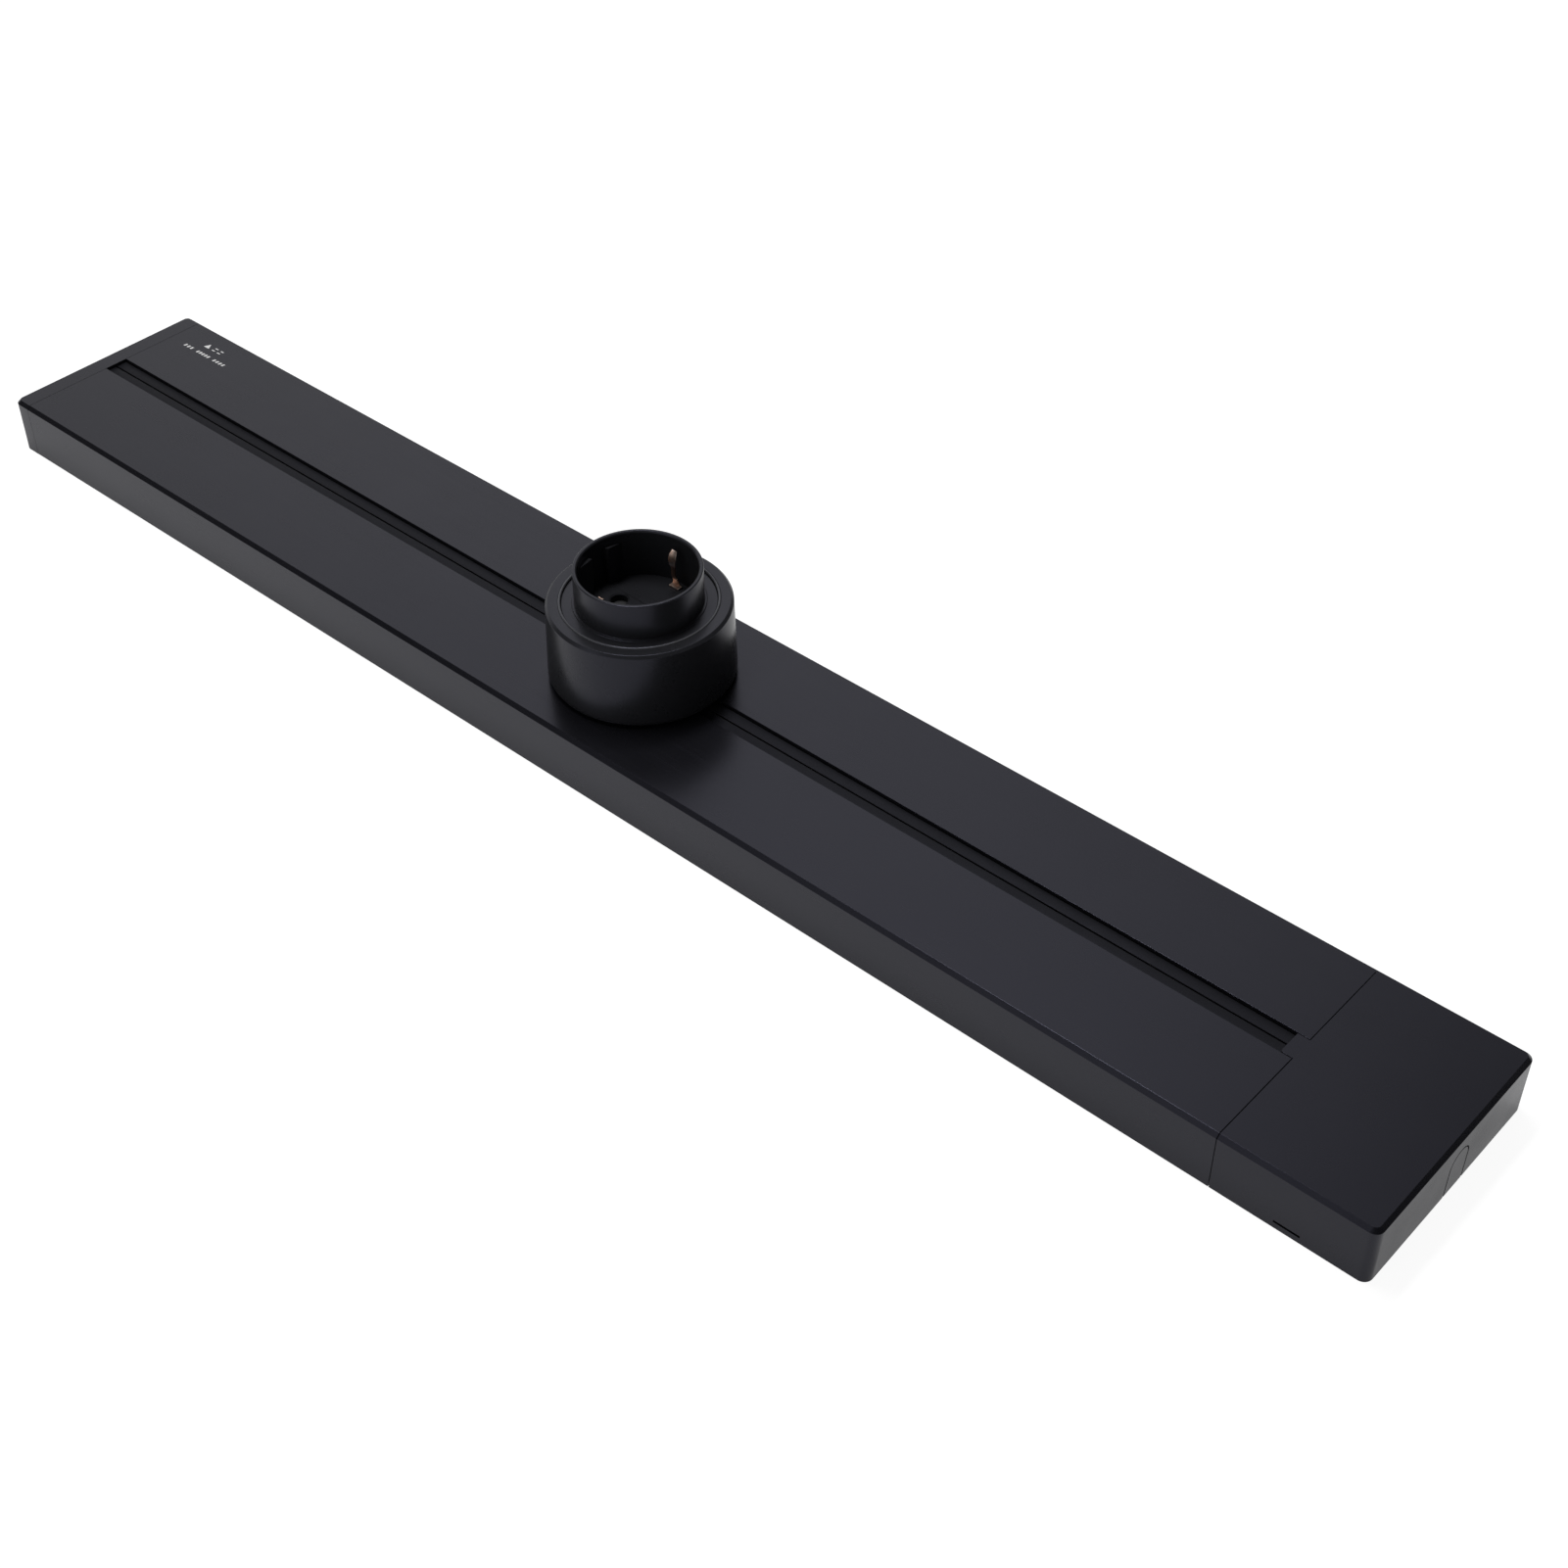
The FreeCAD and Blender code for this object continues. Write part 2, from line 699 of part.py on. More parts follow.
def wire_level(pole):
    """Height of the wire hole in a clamp."""
    return "(" + POLES[pole][1] + " + " + POLES[pole][2] + ") / 2"


def make_clamp(pole):
    """Brass clamp with a slot for the busbar, a hole for the wire and one for the screw."""
    middle, low, high = POLES[pole]
    body = clamp_space(pole + "_clamp_body", pole, "0", ("clamp_left", "clamp_right"))
    slot = bar_block(pole + "_clamp_slot", pole, "fit_gap", ("clamp_left - 1", "bar_end + fit_gap"))
    wire = rod(pole + "_wire_hole", "wire_radius", ("clamp_screw - wire_stop", middle, wire_level(pole)),
               "clamp_length", "x")
    screw = rod(pole + "_screw_hole", "port_bore", ("clamp_screw", middle, wire_level(pole)),
                high + " - " + wire_level(pole) + " + 1")
    return cut(pole + "_clamp", body, [slot, wire, screw])


def make_terminal_block():
    """Insulating housing of the three clamps, open to the busbars on one side."""
    body = block("terminal_body", ("terminal_left", "terminal_right"),
                 ("-terminal_width / 2", "terminal_width / 2"), ("base_plate", "terminal_top"))
    tools = []
    for pole in POLES:
        middle = POLES[pole][0]
        tools.append(clamp_space(pole + "_cell", pole, "fit_gap",
                                 ("terminal_left - 1", "clamp_right + fit_gap")))
        tools.append(rod(pole + "_entry", "wire_radius + ease", ("clamp_right", middle, wire_level(pole)),
                         "clamp_length", "x"))
        tools.append(rod(pole + "_access", "access_radius", ("clamp_screw", middle, POLES[pole][1]),
                         "track_height"))
    return cut("terminal_block", body, tools)


def make_terminal_screws():
    """One clamp screw for each pole."""
    screws = []
    for pole in POLES:
        middle, low, high = POLES[pole]
        shank = rod(pole + "_screw_shank", "screw_radius", ("clamp_screw", middle, wire_level(pole)),
                    high + " - " + wire_level(pole) + " + fit_gap")
        head = rod(pole + "_screw_top", "terminal_screw_head", ("clamp_screw", middle, high + " + fit_gap"),
                   "screw_head_height")
        screws.append(fuse(pole + "_screw", [shank, head]))
    return group("terminal_screws", screws)


def make_seal_lip(name, sign):
    """Rubber lip that closes half of the slot, parted where the stem passes."""
    points = [
        ("lip_gap / 2", "lip_top"),
        ("slot_width / 2 - ease", "lip_top"),
        ("slot_width / 2 - ease", "under_top - ease"),
        ("lip_root", "under_top - ease"),
        ("lip_root", "lip_low"),
        ("slot_width / 2 - ease - lip_thickness", "lip_low"),
        ("lip_gap / 2", "lip_top - lip_thickness / 2"),
    ]
    points = points if sign == "" else mirrored(points)
    strip = padded(name + "_strip", [points], "cap_seam + fit_gap", "lip_end - cap_seam - fit_gap")
    notch = rod(name + "_notch", "stem_radius + run_gap", ("socket_place", "0", "0"), "track_height")
    return cut(name, strip, [notch])


def ring(name, inner, outer, low, high):
    """A flat ring about the socket's axis."""
    return cut(name, rod(name + "_outer", outer, ("socket_place", "0", low), high + " - (" + low + ")"),
               [rod(name + "_inner", inner, ("socket_place", "0", low + " - 1"),
                    high + " - (" + low + ") + 2")])


def make_glide_plate():
    """Plate that slides on the track: its key keeps it in line with the slot."""
    plate = rod("glide_disc", "glide_radius", ("socket_place", "0", "glide_low"), "glide_thickness")
    key = block("glide_key", (at_socket("-key_length / 2"), at_socket("key_length / 2")),
                ("-slot_width / 2 + run_gap", "slot_width / 2 - run_gap"),
                ("lip_top + run_gap", "glide_low + 0.5"))
    opening = block("glide_opening", (at_socket("-head_opening / 2"), at_socket("head_opening / 2")),
                    ("-stem_radius - run_gap", "stem_radius + run_gap"), ("0", "body_top"))
    track = ring("glide_groove", "detent_circle - ball_radius - ease", "detent_circle + ball_radius + ease",
                 "glide_top - detent_groove", "glide_top + 1")
    return cut("glide_plate", fuse("glide_blank", [plate, key]), [opening, track])


def make_outer_shell():
    """Tapered casing of the socket head with a rounded foot and an open top."""
    points = [
        ("body_foot_radius", "socket_low"),
        ("body_low_radius - foot_round", "socket_low + body_foot_height - 2 * foot_round"),
        ("body_low_radius", "socket_low + body_foot_height"),
        ("body_top_radius", "body_top - body_chamfer"),
        ("body_top_radius - body_chamfer", "body_top"),
        ("ring_radius", "body_top"),
        ("ring_radius", "disc_low + fit_gap"),
        ("shell_bore", "disc_low + fit_gap"),
        ("shell_bore", "socket_low"),
    ]
    return revolved("outer_shell", points)


def boss_rods(name, radius, low, length):
    """One round bar at each of the three assembly screws."""
    rods = []
    for number, angle in enumerate(BOSS_ANGLES, start=1):
        start = (at_socket(f"boss_circle * cos({angle})"), f"boss_circle * sin({angle})", low)
        rods.append(rod(f"{name}_{number}", radius, start, length))
    return rods


def slot_tools(name, grow):
    """Where the two legs of the earth bracket pass, larger by grow."""
    x = (at_socket("-bracket_width / 2 - " + grow), at_socket("bracket_width / 2 + " + grow))
    z = ("floor_low - 1", "floor_top + 1")
    return [
        block(name + "_far", x, ("bracket_in - " + grow, "bracket_out + " + grow), z),
        block(name + "_near", x, ("-bracket_out - " + grow, "-bracket_in + " + grow), z),
    ]


def make_guide(name, x_sign, y_sign):
    """One flat guide in the cup: the segment outside a chord, beside the notch for the plug's rib."""
    x = sorted_pair(x_sign, "cup_radius - guide_inset", "cup_radius + 0.4")
    y = sorted_pair(y_sign, "guide_notch / 2", "cup_radius")
    box = block(name + "_box", (at_socket(x[0]), at_socket(x[1])), y,
                ("floor_top - 0.5", "floor_top + guide_height"))
    round_bar = rod(name + "_round", "cup_radius + 0.4", ("socket_place", "0", "floor_top - 1"),
                    "cup_depth")
    return common(name, box, round_bar)


def make_socket_insert():
    """Cup, collar and top disc in one moulding, with pin holes, guides and screw bosses."""
    points = [
        ("0", "floor_low"),
        ("collar_radius", "floor_low"),
        ("collar_radius", "rim_low"),
        ("shell_bore - fit_gap", "rim_low"),
        ("shell_bore - fit_gap", "disc_low"),
        ("ring_radius - fit_gap", "disc_low"),
        ("ring_radius - fit_gap", "disc_top"),
        ("collar_radius", "disc_top"),
        ("collar_radius", "collar_top - lead_in"),
        ("collar_radius - lead_in", "collar_top"),
        ("cup_radius + lead_in / 2", "collar_top"),
        ("cup_radius", "collar_top - lead_in"),
        ("cup_radius", "floor_top"),
        ("0", "floor_top"),
    ]
    cup = revolved("insert_turned", points)
    bosses = boss_rods("boss", "boss_radius", "flange_top + ease", "rim_low - flange_top - ease + 0.5")
    pivot = rod("shutter_pivot", "pivot_radius", ("socket_place", "0", "block_top - pivot_seat"),
                "floor_low - block_top + pivot_seat + 0.5")
    guides = [make_guide(f"guide_{end}_{side}", x_sign, y_sign)
              for x_sign, end in ALONG for y_sign, side in ACROSS]
    blank = fuse("insert_blank", [cup, pivot] + bosses + guides)
    tools = boss_rods("boss_bore", "port_bore", "flange_top", "rim_low - flange_top")
    tools += slot_tools("bracket_slot", "ease")
    for sign, name in ALONG:
        tools.append(rod("pin_hole_" + name, "pin_hole_radius",
                         (at_socket(sign + "pin_place"), "0", "floor_low - 1"), "cup_floor + 2"))
    return cut("socket_insert", blank, tools)


def make_earth_bracket():
    """Copper strip bent into a U: its two upright clips stand in the cup."""
    x = (at_socket("-bracket_width / 2"), at_socket("bracket_width / 2"))
    neck_x = (at_socket("-bracket_neck / 2"), at_socket("bracket_neck / 2"))
    pieces = [block("bracket_neck_strip", neck_x, ("-bracket_out", "bracket_out"),
                    ("bracket_low", "bracket_high"))]
    for sign, name in ACROSS:
        leg = sorted_pair(sign, "bracket_in", "bracket_out")
        pieces.append(block("bracket_leg_" + name, x, leg, ("bracket_low", "bracket_top - clip_bend")))
        shoulder = sorted_pair(sign, "bracket_out - shoulder_length", "bracket_out")
        pieces.append(block("bracket_shoulder_" + name, x, shoulder, ("bracket_low", "bracket_high")))
        foot = sorted_pair(sign, "bracket_in - bracket_foot", "bracket_out")
        pieces.append(block("bracket_foot_" + name, x, foot,
                            ("floor_top + fit_gap", "floor_top + fit_gap + strip")))
        clip = clip_section() if sign == "" else mirrored(clip_section())
        pieces.append(padded("bracket_clip_" + name, [clip], at_socket("-bracket_width / 2"),
                             "bracket_width"))
    return fuse("earth_bracket", pieces)


def clip_section():
    """Outline of a clip's sprung top: it leans into the cup and turns back at its tip."""
    return [
        ("bracket_in", "bracket_top - clip_bend"),
        ("bracket_out", "bracket_top - clip_bend"),
        ("bracket_out - clip_lean", "bracket_top - clip_bend / 2"),
        ("bracket_out - clip_lean / 2", "bracket_top"),
        ("bracket_out - clip_lean / 2 - strip", "bracket_top"),
        ("bracket_out - clip_lean - strip", "bracket_top - clip_bend / 2"),
    ]


def make_pin_contact(pole, sign):
    """Brass tube with a slit that grips one plug pin."""
    x = at_socket(sign + "pin_place")
    tube = rod(pole + "_tube", "contact_radius", (x, "0", "foot_high"), "contact_top - foot_high")
    bore = rod(pole + "_bore", "contact_bore", (x, "0", "foot_high + strip"), "contact_top")
    slit = block(pole + "_slit", (x + " - contact_slit / 2", x + " + contact_slit / 2"),
                 ("-contact_radius - 1", "contact_radius + 1"), ("foot_high + slit_start", "contact_top + 1"))
    return cut(pole + "_pin_contact", tube, [bore, slit])


def conductor_pieces(name, pole, grow):
    """Blocks of one bent conductor: blade, riser and foot, larger by grow."""
    low_y = "-conductor_width / 2 - " + grow
    high_y = "conductor_width / 2 + " + grow
    blade_low = "bar_middle - blade_height / 2 - " + grow
    if pole == "earth":
        x = (at_socket("-strip / 2 - " + grow), at_socket("strip / 2 + " + grow))
        tip_y = "earth_offset + earth_blade_width / 2 + " + grow
        lead = block(name + "_lead", x, (low_y, tip_y),
                     ("head_low - " + grow, "head_low + blade_height / 2 + " + grow))
        blade = block(name + "_blade", x, ("earth_offset - earth_blade_width / 2 - " + grow, tip_y),
                      ("earth_top + run_gap", "head_low + " + grow))
        riser = block(name + "_riser", x, (low_y, high_y), ("head_low", "bracket_low"))
        return [lead, blade, riser]
    side = "-" if pole == "live" else ""
    inner = "strip_offset - " + grow
    outer = "strip_offset + strip + " + grow
    low_x, high_x = sorted_pair(side, inner, outer)
    x = (at_socket(low_x), at_socket(high_x))
    reach = "head_length / 2 + blade_reach"
    blade_y = ("-(" + reach + ")", high_y) if pole == "live" else (low_y, reach)
    blade = block(name + "_blade", x, blade_y, (blade_low, "bar_middle + blade_height / 2 + " + grow))
    riser = block(name + "_riser", x, (low_y, high_y), (blade_low, "foot_high"))
    low_x, high_x = sorted_pair(side, inner, "pin_place + foot_reach + " + grow)
    foot = block(name + "_foot", (at_socket(low_x), at_socket(high_x)), (low_y, high_y),
                 ("foot_low - " + grow, "foot_high"))
    return [blade, riser, foot]


def make_conductor(pole):
    """Copper strip from the blade in the track up to the socket's contact."""
    return fuse(pole + "_conductor", conductor_pieces(pole, pole, "0"))


def make_contact_head():
    """Flange, stem and cross head in one moulding that carries the blades."""
    flange = rod("head_flange", "flange_radius", ("socket_place", "0", "flange_low"), "flange_thickness")
    stem = rod("head_stem", "stem_radius", ("socket_place", "0", "head_low + 0.5"),
               "flange_low - head_low")
    cross = block("head_cross", (at_socket("-stem_radius"), at_socket("stem_radius")),
                  ("-head_length / 2", "head_length / 2"), ("head_low", "head_high"))
    tube_base = (at_socket("-detent_circle"), "0", "flange_top - 0.5")
    tube = rod("detent_tube_body", "ball_radius + fit_gap + detent_wall", tube_base, "detent_tube + 0.5")
    blank = fuse("head_blank", [flange, stem, cross, tube])
    tools = boss_rods("head_screw_hole", "screw_radius + ease", "flange_low - 1", "flange_thickness + 2")
    tools += boss_rods("head_screw_sink", "screw_head_radius + ease", "flange_low - 1",
                       "assembly_head_height + 1")
    tools.append(rod("detent_bore", "ball_radius + fit_gap",
                     (at_socket("-detent_circle"), "0", "flange_low - 1"),
                     "tube_top - detent_wall - flange_low + 1"))
    for pole in POLES:
        tools += conductor_pieces(pole + "_way", pole, "fit_gap")
    return cut("contact_head", blank, tools)


def make_assembly_screws():
    """Three screws from below that hold flange, shell and insert together."""
    shanks = boss_rods("assembly_shank", "screw_radius", "flange_low + fit_gap", "assembly_screw_length")
    heads = boss_rods("assembly_head", "screw_head_radius", "flange_low + fit_gap",
                      "assembly_head_height - fit_gap")
    return group("assembly_screws",
                 [fuse(f"assembly_screw_{number}", list(pair))
                  for number, pair in enumerate(zip(shanks, heads), start=1)])


def make_contact_block():
    """Insulating block under the shutter that holds the pin contacts and the earth bracket."""
    body = rod("contact_block_body", "block_radius", ("socket_place", "0", "block_low"),
               "block_top - block_low")
    tools = []
    for sign, name in ALONG:
        tools.append(rod("contact_cell_" + name, "contact_radius + fit_gap",
                         (at_socket(sign + "pin_place"), "0", "foot_high - fit_gap"), "block_top"))
        low, high = sorted_pair(sign, "strip_offset - fit_gap", "pin_place + foot_reach + fit_gap")
        tools.append(block("contact_foot_" + name, (at_socket(low), at_socket(high)),
                           ("-conductor_width / 2 - fit_gap", "conductor_width / 2 + fit_gap"),
                           ("block_low - 1", "foot_high")))
    tools.append(block("bracket_way",
                       (at_socket("-bracket_width / 2 - ease"), at_socket("bracket_width / 2 + ease")),
                       ("-block_radius - 1", "block_radius + 1"),
                       ("block_low - 1", "bracket_high + fit_gap")))
    tools.append(rod("pivot_way", "pivot_radius + ease",
                     ("socket_place", "0", "block_top - pivot_seat - run_gap"), "pivot_seat + 1"))
    return cut("contact_block", body, tools + peg_pocket())


def peg_pocket():
    """Space in which the shutter's peg travels, and beside it the seat of its spring."""
    z = ("shutter_low - peg_depth - run_gap", "block_top + 1")
    room = "peg_radius + run_gap"
    box = block("peg_travel_box",
                (at_socket("-(peg_circle * sin(shutter_turn) + " + room + ")"), at_socket(room)),
                ("peg_circle * cos(shutter_turn) - " + room.replace("+", "-"), "peg_circle + " + room), z)
    arc = rod("peg_travel_round", "peg_circle + " + room, ("socket_place", "0", z[0]), "peg_depth + 2")
    seat = block("spring_seat", (at_socket("0"), at_socket("spring_end + spring_wire + fit_gap")),
                 ("peg_circle - " + room.replace("+", "-"), "peg_circle + " + room), z)
    return [common("peg_travel", box, arc), seat]


def make_safety_shutter():
    """Turning plate that covers the pin holes until both pins push it aside."""
    plate = rod("shutter_plate", "shutter_radius", ("socket_place", "0", "shutter_low"), "shutter_thickness")
    peg = rod("shutter_peg", "peg_radius", (at_socket("0"), "peg_circle", "shutter_low - peg_depth"),
              "peg_depth + 0.5")
    tools = [rod("shutter_bore", "pivot_radius + fit_gap / 2", ("socket_place", "0", "0"), "body_top")]
    for sign, name in ALONG:
        reach = sign + "pin_place"
        tools.append(rod("shutter_hole_" + name, "shutter_hole",
                         (at_socket(reach + " * cos(shutter_turn)"),
                          "-(" + reach + ") * sin(shutter_turn)", "shutter_low - 1"),
                         "shutter_thickness + 2"))
    return cut("safety_shutter", fuse("shutter_blank", [plate, peg]), tools)


def coil(name, radius, wire, length, turns, start, direction):
    """A coil spring made as a round wire swept along a helix."""
    path = Part.makeHelix(length / turns, length, radius)
    middle = FreeCAD.Vector(radius, 0, 0)
    section = Part.Wire(Part.makeCircle(wire / 2, middle, FreeCAD.Vector(0, 1, 0)))
    solid = Part.Wire(path.Edges).makePipeShell([section], True, True)
    item = doc.addObject("Part::Feature", name)
    item.Shape = solid
    turn = FreeCAD.Rotation(FreeCAD.Vector(0, 0, 1), direction)
    item.Placement = FreeCAD.Placement(start, turn)
    return item


def make_shutter_spring():
    """Coil that pulls the shutter's peg back to the closed place."""
    start = FreeCAD.Vector(size("socket_place") + size("spring_start"), size("peg_circle"),
                           size("shutter_low") - size("peg_depth") / 2)
    return coil("shutter_spring", size("spring_radius"), size("spring_wire"), size("spring_length"),
                size("spring_turns"), start, FreeCAD.Vector(1, 0, 0))


def make_detent_spring():
    """Coil above the detent ball."""
    low = size("ball_level") + size("ball_radius") + size("spring_wire")
    high = size("tube_top") - size("detent_wall") - size("spring_wire")
    start = FreeCAD.Vector(size("socket_place") - size("detent_circle"), 0, low)
    radius = size("ball_radius") - size("spring_wire") / 2 - size("fit_gap")
    return coil("detent_spring", radius, size("spring_wire"), high - low, size("spring_turns") - 2,
                start, FreeCAD.Vector(0, 0, 1))


def make_detent_ball():
    """Ball that clicks when the socket head is turned home."""
    ball = doc.addObject("Part::Sphere", "detent_ball")
    ball.setExpression("Radius", bound("ball_radius"))
    place(ball, at_socket("-detent_circle"), "0", "ball_level")
    return ball


def make_parts():
    """Every sub-part of the product, in the order of assembly."""
    parts = [make_track_profile(), make_end_cap(), make_end_cap_screws()]
    parts += [make_terminal_cover(), make_terminal_base(), make_cord_clamp(), make_cord_clamp_screws()]
    parts += [make_side_carrier("live"), make_side_carrier("neutral"), make_earth_carrier()]
    for pole in POLES:
        parts += [make_busbar(pole), make_clamp(pole), make_conductor(pole)]
    parts += [make_terminal_block(), make_terminal_screws()]
    parts += [make_seal_lip("seal_lip_near", "-"), make_seal_lip("seal_lip_far", "")]
    parts += [make_glide_plate(), make_contact_head(), make_assembly_screws(), make_outer_shell()]
    parts += [make_socket_insert(), make_contact_block(), make_earth_bracket()]
    parts += [make_pin_contact("live", "-"), make_pin_contact("neutral", "")]
    parts += [make_safety_shutter(), make_shutter_spring(), make_detent_ball(), make_detent_spring()]
    return parts


def check(parts):
    """Stop with a clear message where a feature failed or a shape is missing."""
    for item in doc.Objects:
        if "Invalid" in item.State or "Error" in item.State:
            raise RuntimeError(item.Label + " failed: " + ", ".join(item.State))
    for item in parts:
        if item.Shape.isNull() or not item.Shape.isValid():
            raise RuntimeError(item.Label + " has no valid shape")


def write(parts):
    """Write one STEP file for each sub-part."""
    os.makedirs("parts", exist_ok=True)
    for item in parts:
        item.Label = item.Name
        item.Shape.exportStep(f"parts/{item.Name}.step")
        print(item.Name, len(item.Shape.Solids), round(item.Shape.Volume, 1))


fill_sheet()
sub_parts = make_parts()
doc.recompute()
check(sub_parts)
write(sub_parts)
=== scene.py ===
import json
import math

import bmesh
import bpy
import numpy as np
from mathutils import Matrix, Vector
from mathutils.geometry import tessellate_polygon


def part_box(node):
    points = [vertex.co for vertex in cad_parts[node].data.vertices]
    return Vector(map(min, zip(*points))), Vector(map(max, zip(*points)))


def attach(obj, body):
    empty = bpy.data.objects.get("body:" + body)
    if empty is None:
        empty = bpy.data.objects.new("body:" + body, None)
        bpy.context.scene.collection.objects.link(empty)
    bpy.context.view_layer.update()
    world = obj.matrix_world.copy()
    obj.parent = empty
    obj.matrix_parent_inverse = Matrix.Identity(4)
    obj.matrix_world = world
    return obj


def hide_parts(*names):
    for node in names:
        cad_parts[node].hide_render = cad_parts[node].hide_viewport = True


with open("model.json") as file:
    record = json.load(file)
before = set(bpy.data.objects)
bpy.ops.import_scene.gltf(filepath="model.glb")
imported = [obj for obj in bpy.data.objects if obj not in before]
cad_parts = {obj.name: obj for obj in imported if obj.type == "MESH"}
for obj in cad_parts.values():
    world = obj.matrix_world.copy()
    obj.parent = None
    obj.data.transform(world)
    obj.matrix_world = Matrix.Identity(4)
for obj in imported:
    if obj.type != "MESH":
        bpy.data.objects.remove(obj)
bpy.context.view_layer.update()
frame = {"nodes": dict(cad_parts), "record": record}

MM = 0.001

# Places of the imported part, in millimetres: lowest and highest corner of a node
TRACK = np.array(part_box("track_profile")) / MM
SHELL = np.array(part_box("outer_shell")) / MM
INSERT = np.array(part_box("socket_insert")) / MM
LIPS = np.array(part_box("seal_lip_far")) / MM
BRACKET = np.array(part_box("earth_bracket")) / MM

TRACK_TOP = TRACK[1][2]
AXIS_X = (SHELL[0][0] + SHELL[1][0]) / 2
SHELL_LOW = SHELL[0][2]
SHELL_TOP = SHELL[1][2]
RIM = INSERT[1][2]

# Casing of the socket head, in millimetres: its radii, the tuck at its foot, the chamfer at its
# top, the groove that carries the bead, and the ledge below the groove
TOP_RADIUS = 30.6
LOW_RADIUS = 31.3
FOOT_RADIUS = 29.3
BORE_RADIUS = 28.2
RING_RADIUS = 25.8
TUCK_WIDTH = 0.3
TUCK_HEIGHT = 1.2
SKIRT_HEIGHT = 2.2
TOP_CHAMFER = 0.9
GROOVE_OUT = 0.6
GROOVE_IN = 0.3
GROOVE_DEPTH = 0.5
LEDGE_DEPTH = 2.9

# Bead round the head's opening: its reach to both sides of the ring radius, down and up
BEAD_OUT = 0.58
BEAD_IN = 0.32
BEAD_DOWN = 0.6
BEAD_UP = 0.3
BEAD_CROWN = 0.44

# Cup, collar and disc of the socket insert, in millimetres
CUP_RADIUS = 19.6
COLLAR_RADIUS = 21.1
RING_RECESS = 0.6
DISC_GAP = 0.45
FLANGE_GAP = 0.1
FLANGE_TOP = 2.4
FLANGE_LOW = 3.7
STEP_FOOT = 0.9
STEP_WIDTH = 0.75
STEP_HEIGHT = 0.25
MOUTH_WIDTH = 0.4
MOUTH_DEPTH = 0.5
CUP_DEPTH = 17.5
FLOOR = RIM - CUP_DEPTH
FLOOR_THICKNESS = 2.5
FLOOR_OVERLAP = 0.05
PIN_PITCH = 19.0
PIN_HOLE_RADIUS = 2.9
SINK_RADIUS = 3.45
SINK_DEPTH = 0.5
CLIP_SLOT = (4.8, 1.2)
CLIP_SLOT_CORNER = 0.2

# Plug guides: place of the face and the notch, height and slope of the top, the corner between
# face and notch, how deep a guide is rooted in the wall and the floor, and how far its arc in
# the wall starts from the notch
GUIDE_FACE = 17.05
GUIDE_NOTCH = 3.65
GUIDE_HEIGHT = 14.6
GUIDE_SLOPE = 0.36
GUIDE_CORNER = 0.4
WALL_ROOT = 0.4
FLOOR_ROOT = 0.2
NOTCH_EASE = 0.1

# Earth bracket: its strip under the cup floor with its middle lines, the number of points on
# each side of a section, its clips with their crown, the foot round each clip, and the brown
# shank of a clip by its middle above the cup floor, half its length and its blurred ends
STRIP_THICKNESS = 0.8
STRIP_WIDTH = 2.8
STRIP_LEVEL = BRACKET[0][2] + STRIP_THICKNESS / 2
CLIP_PLACE = BRACKET[1][1] - STRIP_THICKNESS / 2
STRIP_POINTS = 7
CLIP_THICKNESS = 0.45
CLIP_CROWN = 0.12
FOOT_WIDTH = 4.0
FOOT_THICKNESS = 0.7
FOOT_LEVEL = FLOOR + 0.45
SHANK_MIDDLE = 5.0
# The shank band also sets where the painted highlight of a clip's crown and foot begins
SHANK_HALF = 3.9
SHANK_BLUR = 0.5

# Rubber lips: half the gap between them, how far the blade and its root reach to the side, the
# thickness of the blade, and the step from the blade down to the root
LIP_GAP = 0.25
LIP_REACH = 4.45
LIP_ROOT = 3.4
LIP_BLADE = 0.55
LIP_STEP = 0.9

# Seams and edges of the track, in millimetres
SEAM_GAP = 0.22
CAP_GAP = 0.1
TONGUE_SIDE = 4.5
TONGUE_LOW = 20.0
TONGUE_GAP = 0.12
TONGUE_CORNER = 0.9

# How near a point lies to a plane, to the seam and to the tongue's tip to be counted there
IN_PLANE = 0.05
NEAR_SEAM = 0.5
AT_TIP = 0.1

# Printed marks, in millimetres: plan of the triangle; left ends of the two pairs of bars, with
# the shift and the place of each bar of a pair; left end, number and pitch of the dashes in each
# group; and width, depth and lean of a bar and of a dash
PRINT_HEIGHT = 0.02
TRIANGLE = ((-276.2, 30.8), (-273.2, 30.8), (-274.7, 33.3))
BAR_PAIRS = (-271.6, -268.4)
BARS = ((0.0, 30.9), (0.3, 32.5))
DASH_GROUPS = ((-283.0, 3, 1.85), (-275.4, 5, 1.6), (-265.2, 4, 1.8))
DASH_PLACE = 26.1
BAR_SIZE = (1.7, 0.5, 0.2)
DASH_SIZE = (0.9, 1.4, 0.4)

# Steps round a full turn of a turned piece, the distances in metres within which points are
# merged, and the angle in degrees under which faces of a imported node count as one
TURN_STEPS = 256
WELD = 1e-7
NODE_WELD = 2e-6
FLAT = 0.4

# The camera, found from the photograph's own edges
CAMERA_AZIMUTH = math.radians(41.857)
CAMERA_ELEVATION = math.radians(41.601)
CAMERA_ROLL = math.radians(-0.292)
CAMERA_DISTANCE = 0.77309
CAMERA_AIM = Vector((0.052908, 0.00573, 0.0))
FOCAL_PIXELS = 2421.0
IMAGE_PIXELS = 1601
SENSOR = 36.0

# Surroundings: an even dim level, and soft glows given by turn from +X, height and reach in
# degrees, and level in the middle
DIM_LEVEL = 0.08
GLOWS = (
    (133, 42, 27, 1.16),
    (168, 4, 36, 1.00),
    (275, 2, 42, 1.20),
    (248, 37, 16, 0.90),
)

